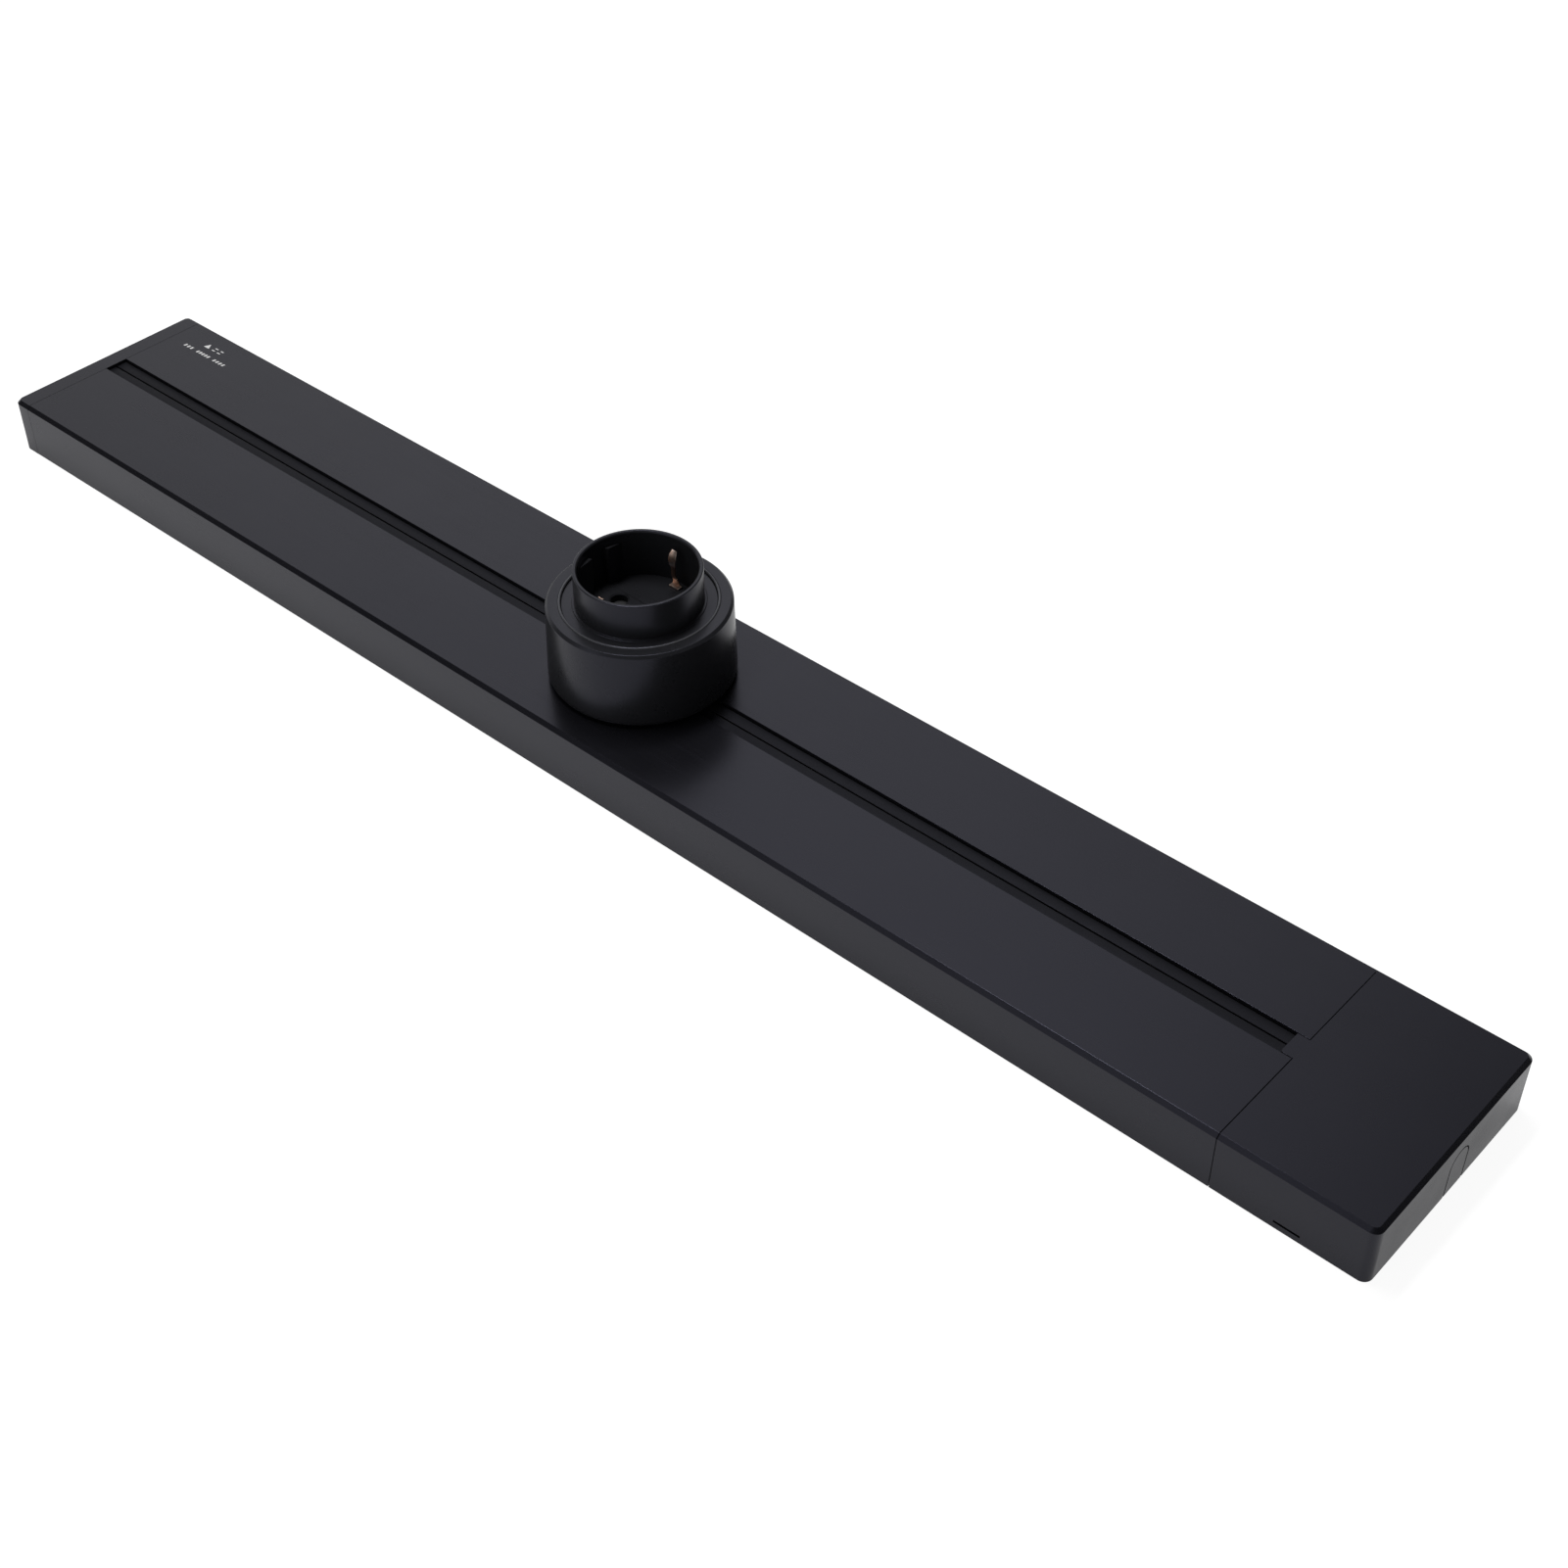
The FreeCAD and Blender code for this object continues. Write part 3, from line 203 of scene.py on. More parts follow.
# The floor: half its width in millimetres, and its tone and glow as seen and as lit paper; a
# reflection sees a share of the first and the rest of the second
FLOOR_HALF = 4000.0
SEEN_FLOOR = (0.2, 0.93)
LIT_FLOOR = (0.8, 0.16)
REFLECTED_SHARE = 0.45

# The lamp above, in metres and watts
LAMP_PLACE = Vector((-0.2, 0.05, 1.1))
LAMP_AIM = Vector((-0.2, 0.05, 0.0))
LAMP_SIZE = (0.2, 0.7)
LAMP_POWER = 8.5

WHITE = (1, 1, 1, 1)

# Reflections of the black finishes are slightly cool
COOL = (0.74, 0.745, 1.0, 1.0)

# Heights of fine relief, in metres
GRAIN = 0.00002
FINE_GRAIN = 0.00001


# Meshes

def placed(name, data):
    """An object at the origin for a mesh, a lamp or a camera."""
    item = bpy.data.objects.new(name, data)
    bpy.context.scene.collection.objects.link(item)
    return item


def new_object(name, verts, faces):
    """A mesh object from points in millimetres and a list of faces."""
    mesh = bpy.data.meshes.new(name)
    mesh.from_pydata((np.asarray(verts) * MM).tolist(), [],
                     [tuple(map(int, face)) for face in faces])
    mesh.update()
    return placed(name, mesh)


def opened(item):
    """The mesh of an object, opened for editing."""
    work = bmesh.new()
    work.from_mesh(item.data)
    return work


def written(work, item):
    """Write an edited mesh back to its object."""
    work.to_mesh(item.data)
    work.free()
    return item


def grid_faces(rows, columns, close_rows=True, start=0):
    """Quads between neighbouring points of a grid whose columns close on themselves: row i,
    column j has the number i * columns + j."""
    i = np.arange(rows if close_rows else rows - 1)[:, None]
    j = np.arange(columns)[None, :]
    i2, j2 = (i + 1) % rows, (j + 1) % columns
    corners = [i * columns + j, i * columns + j2, i2 * columns + j2, i2 * columns + j]
    return (np.stack(corners, -1).reshape(-1, 4) + start).tolist()


def rounded(points, radii, steps):
    """A closed outline with an arc at each corner. The arc starts one tangent length before the
    corner, r / tan(half the inner angle), and its points turn evenly about the arc's centre.
    There is one radius for all corners or one for each, and steps is the points of an arc."""
    p = np.asarray(points, float)
    r = np.broadcast_to(np.asarray(radii, float), len(p))[:, None]
    before = np.roll(p, 1, 0) - p
    after = np.roll(p, -1, 0) - p
    before /= np.linalg.norm(before, axis=1)[:, None]
    after /= np.linalg.norm(after, axis=1)[:, None]
    half = np.arccos(np.clip((before * after).sum(1), -1, 1))[:, None] / 2
    middle = before + after
    middle /= np.maximum(np.linalg.norm(middle, axis=1)[:, None], 1e-9)
    centre = p + middle * r / np.maximum(np.sin(half), 1e-6)
    tangent = r / np.tan(half)
    start = p + before * tangent - centre
    finish = p + after * tangent - centre
    first = np.arctan2(start[:, 1], start[:, 0])
    turn = np.arctan2(finish[:, 1], finish[:, 0]) - first
    turn = (turn + np.pi) % (2 * np.pi) - np.pi
    angle = first[:, None] + turn[:, None] * np.linspace(0, 1, steps)[None, :]
    arc = np.stack([np.cos(angle), np.sin(angle)], -1) * r[:, None, :]
    return (centre[:, None, :] + arc).reshape(-1, 2)


def circle(x, y, radius, steps=48):
    """Plan points of a circle."""
    angle = np.linspace(0, 2 * np.pi, steps, endpoint=False)
    return np.column_stack([x + radius * np.cos(angle), y + radius * np.sin(angle)])


def rectangle(x, y, width, depth, radius):
    """Plan points of a rectangle with rounded corners."""
    w, d = width / 2, depth / 2
    return rounded([(x - w, y - d), (x + w, y - d), (x + w, y + d), (x - w, y + d)], radius, 4)


def slanted(x, y, width, depth, lean):
    """Plan points of a bar whose far side is shifted to the right by the lean."""
    return [(x, y), (x + width, y), (x + width + lean, y + depth), (x + lean, y + depth)]


def turned(name, profile):
    """A closed profile of radius and height turned about the head's upright axis:
    point (r, z) at angle t is (axis + r cos t, r sin t, z)."""
    profile = np.asarray(profile)
    angle = np.linspace(0, 2 * np.pi, TURN_STEPS, endpoint=False)[:, None]
    verts = np.stack([
        AXIS_X + profile[None, :, 0] * np.cos(angle),
        profile[None, :, 0] * np.sin(angle),
        np.broadcast_to(profile[None, :, 1], (TURN_STEPS, len(profile))),
    ], -1).reshape(-1, 3)
    return outward(new_object(name, verts, grid_faces(TURN_STEPS, len(profile))))


def plate(name, stacks, place):
    """A flat piece from stacks of plan loops with their levels, outline first and then the holes.
    Walls join the loops of a stack, and the lowest and highest loops are filled in; place turns
    plan points and a level into positions."""
    verts, walls, lows, highs = [], [], [], []
    start = 0
    for stack in stacks:
        count = len(stack[0][0])
        verts += [place(np.asarray(loop), level) for loop, level in stack]
        walls += grid_faces(len(stack), count, False, start)
        lows.append(start + np.arange(count))
        highs.append(start + (len(stack) - 1) * count + np.arange(count))
        start += len(stack) * count
    fill = tessellate_polygon([[Vector((x, y, 0)) for x, y in stack[0][0]] for stack in stacks])
    faces = [tuple(np.concatenate(ends)[list(face)]) for ends in (lows, highs) for face in fill]
    return outward(new_object(name, np.concatenate(verts), walls + faces))


def upright(loop, low, high):
    """A stack of one loop carried straight from one level to another."""
    return [(loop, low), (loop, high)]


def in_plan(points, level):
    """Plan points X, Y at one height, or at a height each."""
    return np.column_stack([points, np.broadcast_to(level, len(points))])


def falling_outwards(points, level):
    """Plan points at one height, those above the cup floor falling by a slope times their
    distance outwards from the plug guides' inner faces."""
    slope = GUIDE_SLOPE if level > FLOOR else 0
    outwards = np.hypot(points[:, 0] - AXIS_X, points[:, 1]) - GUIDE_FACE
    return in_plan(points, level - slope * outwards)


def across(points, level):
    """Points Y, Z of a section at one place along X."""
    return np.column_stack([np.full(len(points), level), points])


def outward(item):
    """Merge doubles and turn every face outwards."""
    work = opened(item)
    bmesh.ops.remove_doubles(work, verts=work.verts, dist=WELD)
    bmesh.ops.recalc_face_normals(work, faces=work.faces)
    return written(work, item)


def joined(name, items):
    """One object made of several."""
    work = bmesh.new()
    for item in items:
        work.from_mesh(item.data)
        bpy.data.objects.remove(item)
    return written(work, placed(name, bpy.data.meshes.new(name)))


def copy_of(node, name):
    """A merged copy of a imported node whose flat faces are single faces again."""
    work = opened(frame["nodes"][node])
    bmesh.ops.remove_doubles(work, verts=work.verts, dist=NODE_WELD)
    bmesh.ops.dissolve_limit(work, angle_limit=math.radians(FLAT),
                             verts=work.verts, edges=work.edges)
    return written(work, placed(name, bpy.data.meshes.new(name)))


def smooth(item, angle=35.0):
    """Shade smooth, with edges sharper than the angle kept crisp."""
    item.data.polygons.foreach_set("use_smooth", np.ones(len(item.data.polygons), bool))
    work = opened(item)
    limit = math.radians(angle)
    for edge in work.edges:
        edge.smooth = not (len(edge.link_faces) == 2 and edge.calc_face_angle(0.0) > limit)
    return written(work, item)


def soften(item, width, segments, angle):
    """Round every sharp edge by a small radius in millimetres."""
    bevel = item.modifiers.new("edge", "BEVEL")
    bevel.width = width * MM
    bevel.segments = segments
    bevel.limit_method = "ANGLE"
    bevel.angle_limit = math.radians(angle)
    bevel.harden_normals = True
    return item


# Materials

def feed(tree, socket, value):
    """Give a socket a fixed value, or link the output of another node to it."""
    if isinstance(value, bpy.types.NodeSocket):
        tree.links.new(value, socket)
    else:
        socket.default_value = value


def material(name):
    """An empty node material with its shader and its object coordinates."""
    made = bpy.data.materials.new(name)
    made.use_nodes = True
    tree = made.node_tree
    place = tree.nodes.new("ShaderNodeTexCoord")
    return made, tree, tree.nodes["Principled BSDF"], place.outputs["Object"]


def noise(tree, place, scale, detail=2.0, roughness=0.5, stretch=None):
    """Noise on object coordinates, with scale in features per metre."""
    node = tree.nodes.new("ShaderNodeTexNoise")
    node.inputs["Scale"].default_value = scale
    node.inputs["Detail"].default_value = detail
    node.inputs["Roughness"].default_value = roughness
    if stretch:
        mapping = tree.nodes.new("ShaderNodeMapping")
        mapping.inputs["Scale"].default_value = stretch
        tree.links.new(place, mapping.inputs["Vector"])
        place = mapping.outputs["Vector"]
    tree.links.new(place, node.inputs["Vector"])
    return node.outputs["Fac"]


def spread(tree, value, low, high, start=0.3, end=0.7):
    """Turn a value between start and end into a range."""
    node = tree.nodes.new("ShaderNodeMapRange")
    node.inputs["From Min"].default_value = start
    node.inputs["From Max"].default_value = end
    node.inputs["To Min"].default_value = low
    node.inputs["To Max"].default_value = high
    tree.links.new(value, node.inputs["Value"])
    return node.outputs["Result"]


def worked_out(tree, operation, *values):
    """The result of a calculation with numbers or the outputs of other nodes."""
    node = tree.nodes.new("ShaderNodeMath")
    node.operation = operation
    for socket, value in zip(node.inputs, values):
        feed(tree, socket, value)
    return node.outputs[0]


def mixed(tree, value, first, second):
    """Blend by a value of two colours, each one fixed or the output of another node."""
    node = tree.nodes.new("ShaderNodeMix")
    node.data_type = "RGBA"
    for name, colour in (("A", first), ("B", second)):
        feed(tree, node.inputs[name], (*colour, 1) if isinstance(colour, tuple) else colour)
    tree.links.new(value, node.inputs["Factor"])
    return node.outputs["Result"]


def toned(tree, value, dark, light, *reach):
    """Blend of two colours by a noise value, over its usual reach or a given one."""
    return mixed(tree, spread(tree, value, 0, 1, *reach), dark, light)


def bumped(tree, shader, height, strength, distance):
    """Relief from a height value."""
    node = tree.nodes.new("ShaderNodeBump")
    node.inputs["Strength"].default_value = strength
    node.inputs["Distance"].default_value = distance
    tree.links.new(height, node.inputs["Height"])
    tree.links.new(node.outputs["Normal"], shader.inputs["Normal"])


def shine_coolly(shader, level):
    """Give a black finish weak, slightly cool reflections."""
    shader.inputs["Specular Tint"].default_value = COOL
    shader.inputs["Specular IOR Level"].default_value = level


def satin_black(name, dark, light, rough, grain, relief, shine):
    """Near-black satin finish: cloudy tone, uneven gloss and a fine grain."""
    made, tree, shader, place = material(name)
    shine_coolly(shader, shine)
    clouds = noise(tree, place, 22, detail=3)
    tree.links.new(toned(tree, clouds, dark, light), shader.inputs["Base Color"])
    gloss = noise(tree, place, 60, detail=4, roughness=0.6)
    tree.links.new(spread(tree, gloss, rough - 0.03, rough + 0.03), shader.inputs["Roughness"])
    bumped(tree, shader, noise(tree, place, grain, detail=3, roughness=0.65), relief, GRAIN)
    return made


def anodised_black():
    """Black anodised extrusion: satin, with very faint draw lines along X."""
    made, tree, shader, place = material("anodised_black")
    shine_coolly(shader, 0.31)
    clouds = noise(tree, place, 14, detail=3)
    tone = toned(tree, clouds, (0.0050, 0.0050, 0.0062), (0.0064, 0.0064, 0.0078))
    tree.links.new(tone, shader.inputs["Base Color"])
    gloss = spread(tree, noise(tree, place, 45, detail=4, roughness=0.6), 0.22, 0.26)
    lines = spread(tree, noise(tree, place, 900, stretch=(0.02, 1, 1)), 0.0, 0.03)
    tree.links.new(worked_out(tree, "ADD", gloss, lines), shader.inputs["Roughness"])
    fine = noise(tree, place, 5200, detail=3, roughness=0.6)
    bumped(tree, shader, fine, 0.22, FINE_GRAIN)
    return made


def seal_rubber():
    """Soft black rubber with a dusty unevenness."""
    made, tree, shader, place = material("seal_rubber")
    dust = noise(tree, place, 180, detail=5, roughness=0.7, stretch=(0.3, 1, 1))
    tone = toned(tree, dust, (0.0064, 0.0065, 0.0074), (0.0096, 0.0098, 0.0110), 0.45, 0.8)
    tree.links.new(tone, shader.inputs["Base Color"])
    tree.links.new(spread(tree, dust, 0.5, 0.66), shader.inputs["Roughness"])
    shine_coolly(shader, 0.14)
    fine = noise(tree, place, 3000, detail=3, roughness=0.6)
    bumped(tree, shader, fine, 0.3, GRAIN)
    return made


def bare(tree, shader, place, stain, dull, bright):
    """Let a finish reflect as bare metal, with a gloss that changes with its stains."""
    tree.links.new(spread(tree, stain, dull, bright), shader.inputs["Roughness"])
    shader.inputs["Metallic"].default_value = 1.0
    bumped(tree, shader, noise(tree, place, 2600, detail=3), 0.2, FINE_GRAIN)


def metal(name, dark, light, rough):
    """Bare metal with uneven tarnish and gloss."""
    made, tree, shader, place = material(name)
    stain = noise(tree, place, 300, detail=4, roughness=0.6)
    tree.links.new(toned(tree, stain, dark, light), shader.inputs["Base Color"])
    bare(tree, shader, place, stain, rough + 0.08, rough - 0.05)
    return made


def bare_copper():
    """Copper painted pale at the crown and at the foot as a painted highlight for the light they
    catch, and brown along the shank.
    How pale it is rises with the distance in height from the middle of the shank."""
    made, tree, shader, place = material("bare_copper")
    stain = noise(tree, place, 420, detail=4, roughness=0.6)
    # Painted highlight: the pale tone stands for the lit crown and foot of each clip
    highlight_pale = toned(tree, stain, (0.55, 0.34, 0.25), (0.95, 0.80, 0.72))
    brown = toned(tree, stain, (0.26, 0.16, 0.11), (0.48, 0.31, 0.23))
    apart = tree.nodes.new("ShaderNodeSeparateXYZ")
    tree.links.new(place, apart.inputs[0])
    offset = worked_out(tree, "SUBTRACT", apart.outputs["Z"], (FLOOR + SHANK_MIDDLE) * MM)
    level = spread(tree, worked_out(tree, "ABSOLUTE", offset), 0, 1,
                   (SHANK_HALF - SHANK_BLUR) * MM, (SHANK_HALF + SHANK_BLUR) * MM)
    tree.links.new(mixed(tree, level, brown, highlight_pale), shader.inputs["Base Color"])
    bare(tree, shader, place, stain, 0.42, 0.28)
    return made


def plain_moulding(name, tone, rough):
    """Moulded plastic of one tone with slight cloudiness and a fine grain."""
    made, tree, shader, place = material(name)
    clouds = noise(tree, place, 70, detail=3)
    dark = tuple(0.9 * part for part in tone)
    tree.links.new(toned(tree, clouds, dark, tone), shader.inputs["Base Color"])
    tree.links.new(spread(tree, clouds, rough - 0.04, rough + 0.04), shader.inputs["Roughness"])
    bumped(tree, shader, noise(tree, place, 3500, detail=3), 0.25, GRAIN)
    return made


def white_print():
    """White screen print, slightly uneven."""
    made, tree, shader, place = material("white_print")
    wear = noise(tree, place, 2500, detail=3)
    tone = toned(tree, wear, (0.62, 0.62, 0.62), (0.78, 0.78, 0.78))
    tree.links.new(tone, shader.inputs["Base Color"])
    shader.inputs["Roughness"].default_value = 0.55
    return made


def make_looks():
    """Every finish of the object."""
    return {
        "anodised": anodised_black(),
        "moulded": satin_black("moulded_black", (0.0048, 0.0048, 0.0060), (0.0062, 0.0062, 0.0076),
                               rough=0.26, grain=4200, relief=0.22, shine=0.31),
        "socket": satin_black("socket_black", (0.0135, 0.0138, 0.0155), (0.0160, 0.0163, 0.0182),
                              rough=0.29, grain=4600, relief=0.12, shine=0.26),
        # The bead's light tone is a painted highlight: it stands for the bright line that runs all
        # round the head's opening
        "bead": satin_black("bead_painted_highlight", (0.045, 0.046, 0.050), (0.065, 0.066, 0.070),
                            rough=0.22, grain=4600, relief=0.12, shine=0.31),
        "rubber": seal_rubber(),
        "copper": bare_copper(),
        "brass": metal("bare_brass", (0.62, 0.45, 0.2), (0.78, 0.6, 0.3), rough=0.32),
        "steel": metal("plated_steel", (0.5, 0.5, 0.52), (0.66, 0.66, 0.68), rough=0.3),
        "dark": plain_moulding("dark_moulding", (0.02, 0.02, 0.022), rough=0.45),
        "natural": plain_moulding("natural_moulding", (0.66, 0.65, 0.61), rough=0.5),
        "print": white_print(),
    }


# Pieces

def show(item, node, look):
    """Let a piece stand for a node: it rides on the node's body and carries its finish."""
    item.data.materials.clear()
    item.data.materials.append(look)
    bodies = frame["record"]["behaviour"]["bodies"]
    body = next(name for name, nodes in bodies.items() if node in nodes)
    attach(item, body)
    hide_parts(node)
    return item


def set_back(item, seam, gap):
    """Move the points in a seam plane back by a gap, so that the seam shows as a dark line."""
    for point in item.data.vertices:
        if abs(point.co.x - seam * MM) < IN_PLANE * MM:
            point.co.x += gap * MM
    return item


def fit_tongue(item, seam):
    """Draw the near side of the cover's tongue in from the slot wall, and round its free corner."""
    work = opened(item)
    side = [point for point in work.verts if point.co.x < (seam + NEAR_SEAM) * MM
            and abs(point.co.y + TONGUE_SIDE * MM) < IN_PLANE * MM
            and point.co.z > TONGUE_LOW * MM]
    for point in side:
        point.co.y += TONGUE_GAP * MM
    tip = min(point.co.x for point in side) + AT_TIP * MM
    corner = [edge for edge in work.edges
              if all(point in side and point.co.x < tip for point in edge.verts)]
    bmesh.ops.bevel(work, geom=corner, offset=TONGUE_CORNER * MM, segments=5, profile=0.5,
                    affect="EDGES")
    return written(work, item)


def make_track(looks):
    """The extrusion, end cap and terminal cover with their real edge radii and seams."""
    track = soften(smooth(copy_of("track_profile", "track_extrusion")),
                   width=0.7, segments=3, angle=40)
    show(track, "track_profile", looks["anodised"])
    cap = set_back(copy_of("end_cap", "track_end_cap"), TRACK[0][0], -CAP_GAP)
    cap = soften(smooth(cap), width=0.12, segments=2, angle=30)
    show(cap, "end_cap", looks["moulded"])
    cover = set_back(copy_of("terminal_cover", "track_terminal_cover"), TRACK[1][0], SEAM_GAP)
    cover = smooth(fit_tongue(cover, TRACK[1][0]))
    cover = soften(cover, width=0.15, segments=2, angle=30)
    show(cover, "terminal_cover", looks["moulded"])


def make_lips(looks):
    """Two full-length rubber lips: each section is a flat blade with a rounded tip and a root."""
    low, high = LIPS
    outer, top, bottom = high[1], high[2], low[2]
    section = rounded([
        (LIP_GAP, top),
        (LIP_REACH, top),
        (LIP_REACH, top - LIP_STEP),
        (outer, top - LIP_STEP),
        (outer, bottom),
        (LIP_ROOT, bottom),
        (LIP_GAP, top - LIP_BLADE),
    ], [0.22, 0.1, 0.1, 0.1, 0.1, 0.1, 0.1], 5)
    for name, sign in (("seal_lip_far", 1), ("seal_lip_near", -1)):
        lip = plate(name + "_full", [upright(section * (sign, 1), low[0], high[0])], across)
        show(smooth(lip), name, looks["rubber"])


def make_shell(looks):
    """Tapered casing of the head: a turned profile with a chamfered top, a groove round its
    opening that carries a separate raised bead, and a tucked foot."""
    shell = turned("socket_shell", rounded([
        (FOOT_RADIUS, SHELL_LOW),
        (LOW_RADIUS - TUCK_WIDTH, SHELL_LOW + TUCK_HEIGHT),
        (LOW_RADIUS, SHELL_LOW + SKIRT_HEIGHT),
        (TOP_RADIUS, SHELL_TOP - TOP_CHAMFER),
        (TOP_RADIUS - TOP_CHAMFER, SHELL_TOP),
        (RING_RADIUS + GROOVE_OUT, SHELL_TOP),
        (RING_RADIUS + GROOVE_OUT, SHELL_TOP - GROOVE_DEPTH),
        (RING_RADIUS - GROOVE_IN, SHELL_TOP - GROOVE_DEPTH),
        (RING_RADIUS - GROOVE_IN, SHELL_TOP - LEDGE_DEPTH),
        (BORE_RADIUS, SHELL_TOP - LEDGE_DEPTH),
        (BORE_RADIUS, SHELL_LOW),
    ], [0.5, 0.8, 1.0, 0.45, 0.3, 0.12, 0.1, 0.1, 0.1, 0.1, 0.1], 7))
    show(smooth(shell, 40), "outer_shell", looks["socket"])
    bead = turned("socket_bead", rounded([
        (RING_RADIUS - BEAD_IN, SHELL_TOP - BEAD_DOWN),
        (RING_RADIUS + BEAD_OUT, SHELL_TOP - BEAD_DOWN),
        (RING_RADIUS + BEAD_OUT, SHELL_TOP + BEAD_UP),
        (RING_RADIUS - BEAD_IN, SHELL_TOP + BEAD_UP),
    ], [0.05, 0.05, BEAD_CROWN, BEAD_CROWN], 9))
    # Its finish carries a painted highlight in its light tone
    bead.data.materials.append(looks["bead"])
    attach(smooth(bead, 40), "socket_head")


def guide_outline(along, side):
    """Plan of one plug guide: a flat face across the cup at GUIDE_FACE from the axis, from a
    rounded corner at GUIDE_NOTCH out to the wall, closed by an arc inside the wall. Of the three
    points that give the corner only the middle one's arc is used."""
    wall = CUP_RADIUS + WALL_ROOT
    first = math.asin((GUIDE_NOTCH + NOTCH_EASE) / wall)
    last = math.acos(GUIDE_FACE / wall)
    arc = np.linspace(first, last, 10)
    steps = 5
    corner = rounded([(GUIDE_FACE, 9.0), (GUIDE_FACE, GUIDE_NOTCH), (19.0, GUIDE_NOTCH)],
                     [0.01, GUIDE_CORNER, 0.01], steps)[steps:2 * steps]
    points = np.concatenate([corner, [(wall * math.cos(first), GUIDE_NOTCH)],
                             np.column_stack([wall * np.cos(arc), wall * np.sin(arc)])])
    return points * (along, side) + (AXIS_X, 0)


def make_insert(looks):
    """Collar, disc and cup of the socket, with its floor, countersunk pin holes and plug guides."""
    disc = SHELL_TOP - RING_RECESS
    edge = RING_RADIUS - DISC_GAP
    flange = BORE_RADIUS - FLANGE_GAP
    low = FLOOR - FLOOR_THICKNESS
    pieces = [turned("insert_wall", rounded([
        (CUP_RADIUS, low),
        (COLLAR_RADIUS, low),
        (COLLAR_RADIUS, disc - FLANGE_LOW),
        (flange, disc - FLANGE_LOW),
        (flange, disc - FLANGE_TOP),
        (edge, disc - FLANGE_TOP),
        (edge, disc),
        (COLLAR_RADIUS + STEP_FOOT, disc),
        (COLLAR_RADIUS + STEP_WIDTH, disc + STEP_HEIGHT),
        (COLLAR_RADIUS, disc + STEP_HEIGHT),
        (COLLAR_RADIUS, RIM),
        (CUP_RADIUS + MOUTH_WIDTH, RIM),
        (CUP_RADIUS, RIM - MOUTH_DEPTH),
    ], [0.1, 0.1, 0.1, 0.1, 0.1, 0.1, 0.2, 0.08, 0.1, 0.2, 0.42, 0.25, 0.3], 6))]
    stacks = [upright(circle(AXIS_X, 0, CUP_RADIUS + FLOOR_OVERLAP, 128), low, FLOOR)]
    for side in (-1, 1):
        x = AXIS_X + side * PIN_PITCH / 2
        stacks.append([(circle(x, 0, PIN_HOLE_RADIUS), low),
                       (circle(x, 0, PIN_HOLE_RADIUS), FLOOR - SINK_DEPTH),
                       (circle(x, 0, SINK_RADIUS), FLOOR)])
        slot = rectangle(AXIS_X, side * CLIP_PLACE, *CLIP_SLOT, CLIP_SLOT_CORNER)
        stacks.append(upright(slot, low, FLOOR))
    pieces.append(plate("insert_floor", stacks, in_plan))
    for along in (-1, 1):
        for side in (-1, 1):
            guide = upright(guide_outline(along, side), FLOOR - FLOOR_ROOT, FLOOR + GUIDE_HEIGHT)
            pieces.append(plate("insert_guide", [guide], falling_outwards))
    insert = smooth(joined("socket_cup", pieces), 40)
    insert = soften(insert, width=0.13, segments=2, angle=50)
    show(insert, "socket_insert", looks["socket"])


def strip_along(name, path, widths, thickness, crown=0.0):
    """A bent strip: the path's points Y, Z carry a section of the given width along X. The
    section has a row of points on each side, lifted towards the middle by the crown times one
    minus the square of the place across, and the thickness is laid off to both sides along the
    path's normal."""
    way = np.gradient(path, axis=0)
    way /= np.linalg.norm(way, axis=1)[:, None]
    normal = np.column_stack([-way[:, 1], way[:, 0]])
    half = np.broadcast_to(widths, len(path)) / 2
    u = np.linspace(-1, 1, STRIP_POINTS)
    u = np.concatenate([u, u[::-1]])
    lift = np.repeat([-0.5, 0.5], STRIP_POINTS) * thickness + crown * (1 - u ** 2)
    x = AXIS_X + half[:, None] * u[None, :]
    at = path[:, None, :] + lift[None, :, None] * normal[:, None, :]
    verts = np.concatenate([x[:, :, None], at], -1).reshape(-1, 3)
    count = len(u)
    last = count * (len(path) - 1)
    ends = [tuple(range(count - 1, -1, -1)), tuple(range(last, last + count))]
    return outward(new_object(name, verts, grid_faces(len(path), count, False) + ends))


def eased(points, count, passes):
    """Even steps along a chain of points, rounded by averaging each point with its neighbours."""
    points = np.asarray(points, float)
    length = np.r_[0, np.cumsum(np.linalg.norm(np.diff(points[:, :2], axis=0), axis=1))]
    t = np.linspace(0, length[-1], count)
    path = np.column_stack([np.interp(t, length, column) for column in points.T])
    for _ in range(passes):
        path[1:-1] = (path[:-2] + 2 * path[1:-1] + path[2:]) / 4
    return path


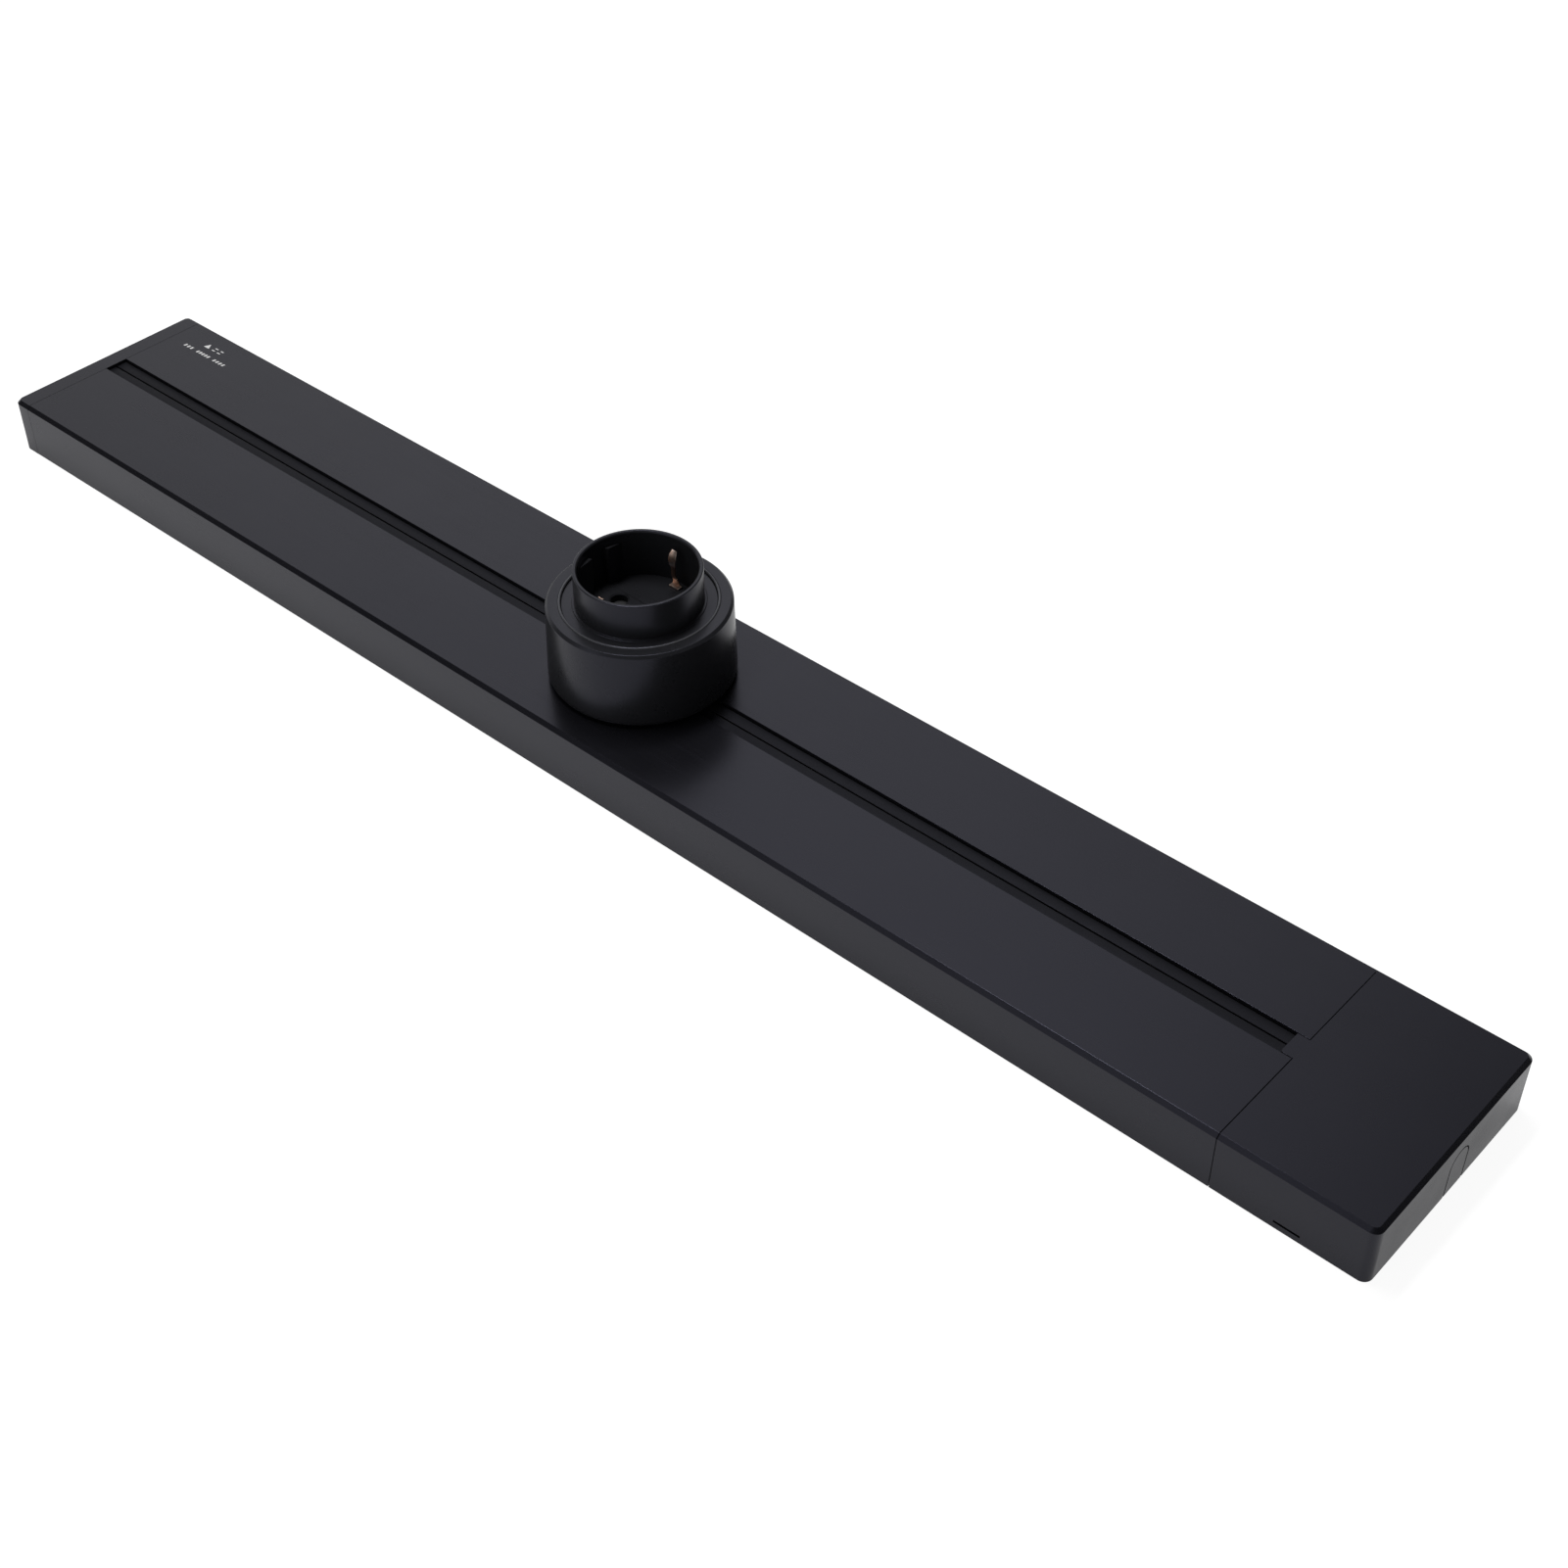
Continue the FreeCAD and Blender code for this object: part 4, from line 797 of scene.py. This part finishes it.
def make_bracket(looks):
    """The copper earth bracket: its strip under the floor, and two sprung clips that rise from the
    floor slots, lean into the cup, carry a spoon-shaped contact and turn back at the top."""
    wall, low, top = CLIP_PLACE, STRIP_LEVEL, BRACKET[1][2]
    strip = np.linspace((-wall, low), (wall, low), 12)
    foot = np.linspace((wall - 1.8, FOOT_LEVEL), (wall + 0.3, FOOT_LEVEL), 8)
    # Y, Z and width along one clip, from the strip under the floor to the tip
    clip = eased([
        (wall, low, 4.2),
        (wall, FLOOR + 0.4, 4.0),
        (wall - 0.4, FLOOR + 2.5, 2.4),
        (wall - 1.5, FLOOR + 5.2, 1.9),
        (wall - 1.3, FLOOR + 8.6, 1.9),
        (wall - 2.1, FLOOR + 10.0, 2.9),
        (wall - 1.7, FLOOR + 12.8, 3.2),
        (wall - 0.5, top - 0.7, 2.0),
    ], count=72, passes=5)
    pieces = [strip_along("bracket_cross", strip, STRIP_WIDTH, STRIP_THICKNESS)]
    for side in (-1, 1):
        mirror = (side, 1)
        way, widths = clip[:, :2] * mirror, clip[:, 2]
        pieces += [
            strip_along("bracket_clip", way, widths, CLIP_THICKNESS, -CLIP_CROWN * side),
            strip_along("bracket_foot", foot * mirror, FOOT_WIDTH, FOOT_THICKNESS),
        ]
    bracket = smooth(joined("copper_earth_bracket", pieces), 40)
    bracket = soften(bracket, width=0.1, segments=2, angle=50)
    show(bracket, "earth_bracket", looks["copper"])


def make_print(looks):
    """White marks at the left end: a triangle with two pairs of bars, and below them a row of
    dashes in three groups."""
    plans = [TRIANGLE]
    plans += [slanted(start + shift, place, *BAR_SIZE) for start in BAR_PAIRS
              for shift, place in BARS]
    plans += [slanted(start, DASH_PLACE, *DASH_SIZE) for first, count, pitch in DASH_GROUPS
              for start in first + pitch * np.arange(count)]
    low, high = TRACK_TOP - PRINT_HEIGHT, TRACK_TOP + PRINT_HEIGHT
    print_marks = joined("direction_print", [
        plate("mark", [upright(np.array(plan), low, high)], in_plan) for plan in plans])
    print_marks.data.materials.append(looks["print"])
    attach(print_marks, "track")


def finish_inner_nodes(looks):
    """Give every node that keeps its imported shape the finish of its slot."""
    by_slot = {
        "anodised_black": "anodised", "black_moulding": "moulded", "socket_black": "socket",
        "dark_moulding": "dark", "white_moulding": "natural", "seal_rubber": "rubber",
        "copper": "copper", "brass": "brass", "steel": "steel",
    }
    slots = {row["node"]: row["material_slot"] for row in frame["record"]["subparts"]}
    for node, item in frame["nodes"].items():
        look = looks[by_slot[slots[node]]]
        for number in range(len(item.material_slots)):
            item.material_slots[number].material = look


# Stage

def plain_shader(tree, kind, **values):
    """A shader of a kind, with fixed values or the outputs of other nodes on its sockets."""
    node = tree.nodes.new(kind)
    for name, value in values.items():
        feed(tree, node.inputs[name], value)
    return node.outputs[0]


def merged(tree, kind, *values):
    """Shaders brought together by a node of a kind, which takes its inputs in order."""
    node = tree.nodes.new(kind)
    for socket, value in zip(node.inputs, values):
        tree.links.new(value, socket)
    return node.outputs[0]


def glowing_paper(tree, tone, glow):
    """Matt paper of a grey tone with a glow of its own."""
    paper = plain_shader(tree, "ShaderNodeBsdfDiffuse", Color=(tone, tone, tone, 1))
    light = plain_shader(tree, "ShaderNodeEmission", Strength=glow)
    return merged(tree, "ShaderNodeAddShader", paper, light)


def seen_rays(tree):
    """How much of the white floor a ray sees: all of it from the camera and through glass, and
    a share in a reflection, where the rest is the lit paper."""
    ray = tree.nodes.new("ShaderNodeLightPath")
    total = ray.outputs["Is Camera Ray"]
    for kind, share in (("Is Glossy Ray", REFLECTED_SHARE), ("Is Transmission Ray", 1.0)):
        total = worked_out(tree, "MULTIPLY_ADD", ray.outputs[kind], share, total)
    return total


def make_floor():
    """Pale floor that reads as white and keeps the object's shadow."""
    corners = [(-1, -1, 0), (1, -1, 0), (1, 1, 0), (-1, 1, 0)]
    floor = new_object("studio_floor", np.array(corners) * FLOOR_HALF, [(0, 1, 2, 3)])
    made = bpy.data.materials.new("studio_floor")
    made.use_nodes = True
    tree = made.node_tree
    tree.nodes.clear()
    out = tree.nodes.new("ShaderNodeOutputMaterial")
    lit = glowing_paper(tree, *LIT_FLOOR)
    seen = glowing_paper(tree, *SEEN_FLOOR)
    surface = merged(tree, "ShaderNodeMixShader", seen_rays(tree), lit, seen)
    tree.links.new(surface, out.inputs["Surface"])
    floor.data.materials.append(made)


def make_world():
    """Dim surroundings with soft glows, white where the camera sees them. Each glow rises smoothly
    with the dot product of the ray's direction and the glow's own."""
    world = bpy.data.worlds.new("studio")
    bpy.context.scene.world = world
    world.use_nodes = True
    tree = world.node_tree
    tree.nodes.clear()
    place = tree.nodes.new("ShaderNodeTexCoord")
    total = DIM_LEVEL
    for turn, height, reach, level in GLOWS:
        turn, height = math.radians(turn), math.radians(height)
        towards = tree.nodes.new("ShaderNodeVectorMath")
        towards.operation = "DOT_PRODUCT"
        towards.inputs[1].default_value = (math.cos(turn) * math.cos(height),
                                           math.sin(turn) * math.cos(height), math.sin(height))
        tree.links.new(place.outputs["Generated"], towards.inputs[0])
        rise = tree.nodes.new("ShaderNodeMapRange")
        rise.interpolation_type = "SMOOTHSTEP"
        rise.inputs["From Min"].default_value = math.cos(math.radians(reach))
        rise.inputs["To Max"].default_value = level
        tree.links.new(towards.outputs["Value"], rise.inputs["Value"])
        total = worked_out(tree, "ADD", rise.outputs["Result"], total)
    light = plain_shader(tree, "ShaderNodeBackground", Color=WHITE, Strength=total)
    white = plain_shader(tree, "ShaderNodeBackground", Color=WHITE, Strength=1.0)
    ray = tree.nodes.new("ShaderNodeLightPath").outputs["Is Camera Ray"]
    out = tree.nodes.new("ShaderNodeOutputWorld")
    tree.links.new(merged(tree, "ShaderNodeMixShader", ray, light, white), out.inputs["Surface"])


def make_lamp():
    """Soft studio light from one rectangular lamp straight above."""
    lamp = bpy.data.lights.new("overhead", "AREA")
    lamp.shape = "RECTANGLE"
    lamp.size, lamp.size_y = LAMP_SIZE
    lamp.energy = LAMP_POWER
    item = placed("overhead", lamp)
    item.location = LAMP_PLACE
    item.rotation_euler = (LAMP_AIM - LAMP_PLACE).to_track_quat("-Z", "Y").to_euler()


def make_camera():
    """Camera at the photograph's angle: back is the direction from the aim to the camera."""
    az, el, roll = CAMERA_AZIMUTH, CAMERA_ELEVATION, CAMERA_ROLL
    back = Vector((math.sin(az) * math.cos(el), -math.cos(az) * math.cos(el), math.sin(el)))
    level = Vector((math.cos(az), math.sin(az), 0))
    rise = back.cross(level)
    right = math.cos(roll) * level + math.sin(roll) * rise
    up = math.cos(roll) * rise - math.sin(roll) * level
    camera = bpy.data.cameras.new("camera")
    camera.sensor_width = SENSOR
    camera.lens = FOCAL_PIXELS / IMAGE_PIXELS * SENSOR
    camera.clip_start = 0.01
    camera.clip_end = 50
    item = placed("camera", camera)
    turn = Matrix((right, up, back)).transposed().to_4x4()
    turn.translation = CAMERA_AIM + back * CAMERA_DISTANCE
    item.matrix_world = turn
    bpy.context.scene.camera = item


make_camera()
make_world()
make_lamp()
make_floor()
looks = make_looks()
finish_inner_nodes(looks)
for make in (make_track, make_lips, make_shell, make_insert, make_bracket, make_print):
    make(looks)
bpy.context.scene.view_settings.view_transform = "Standard"
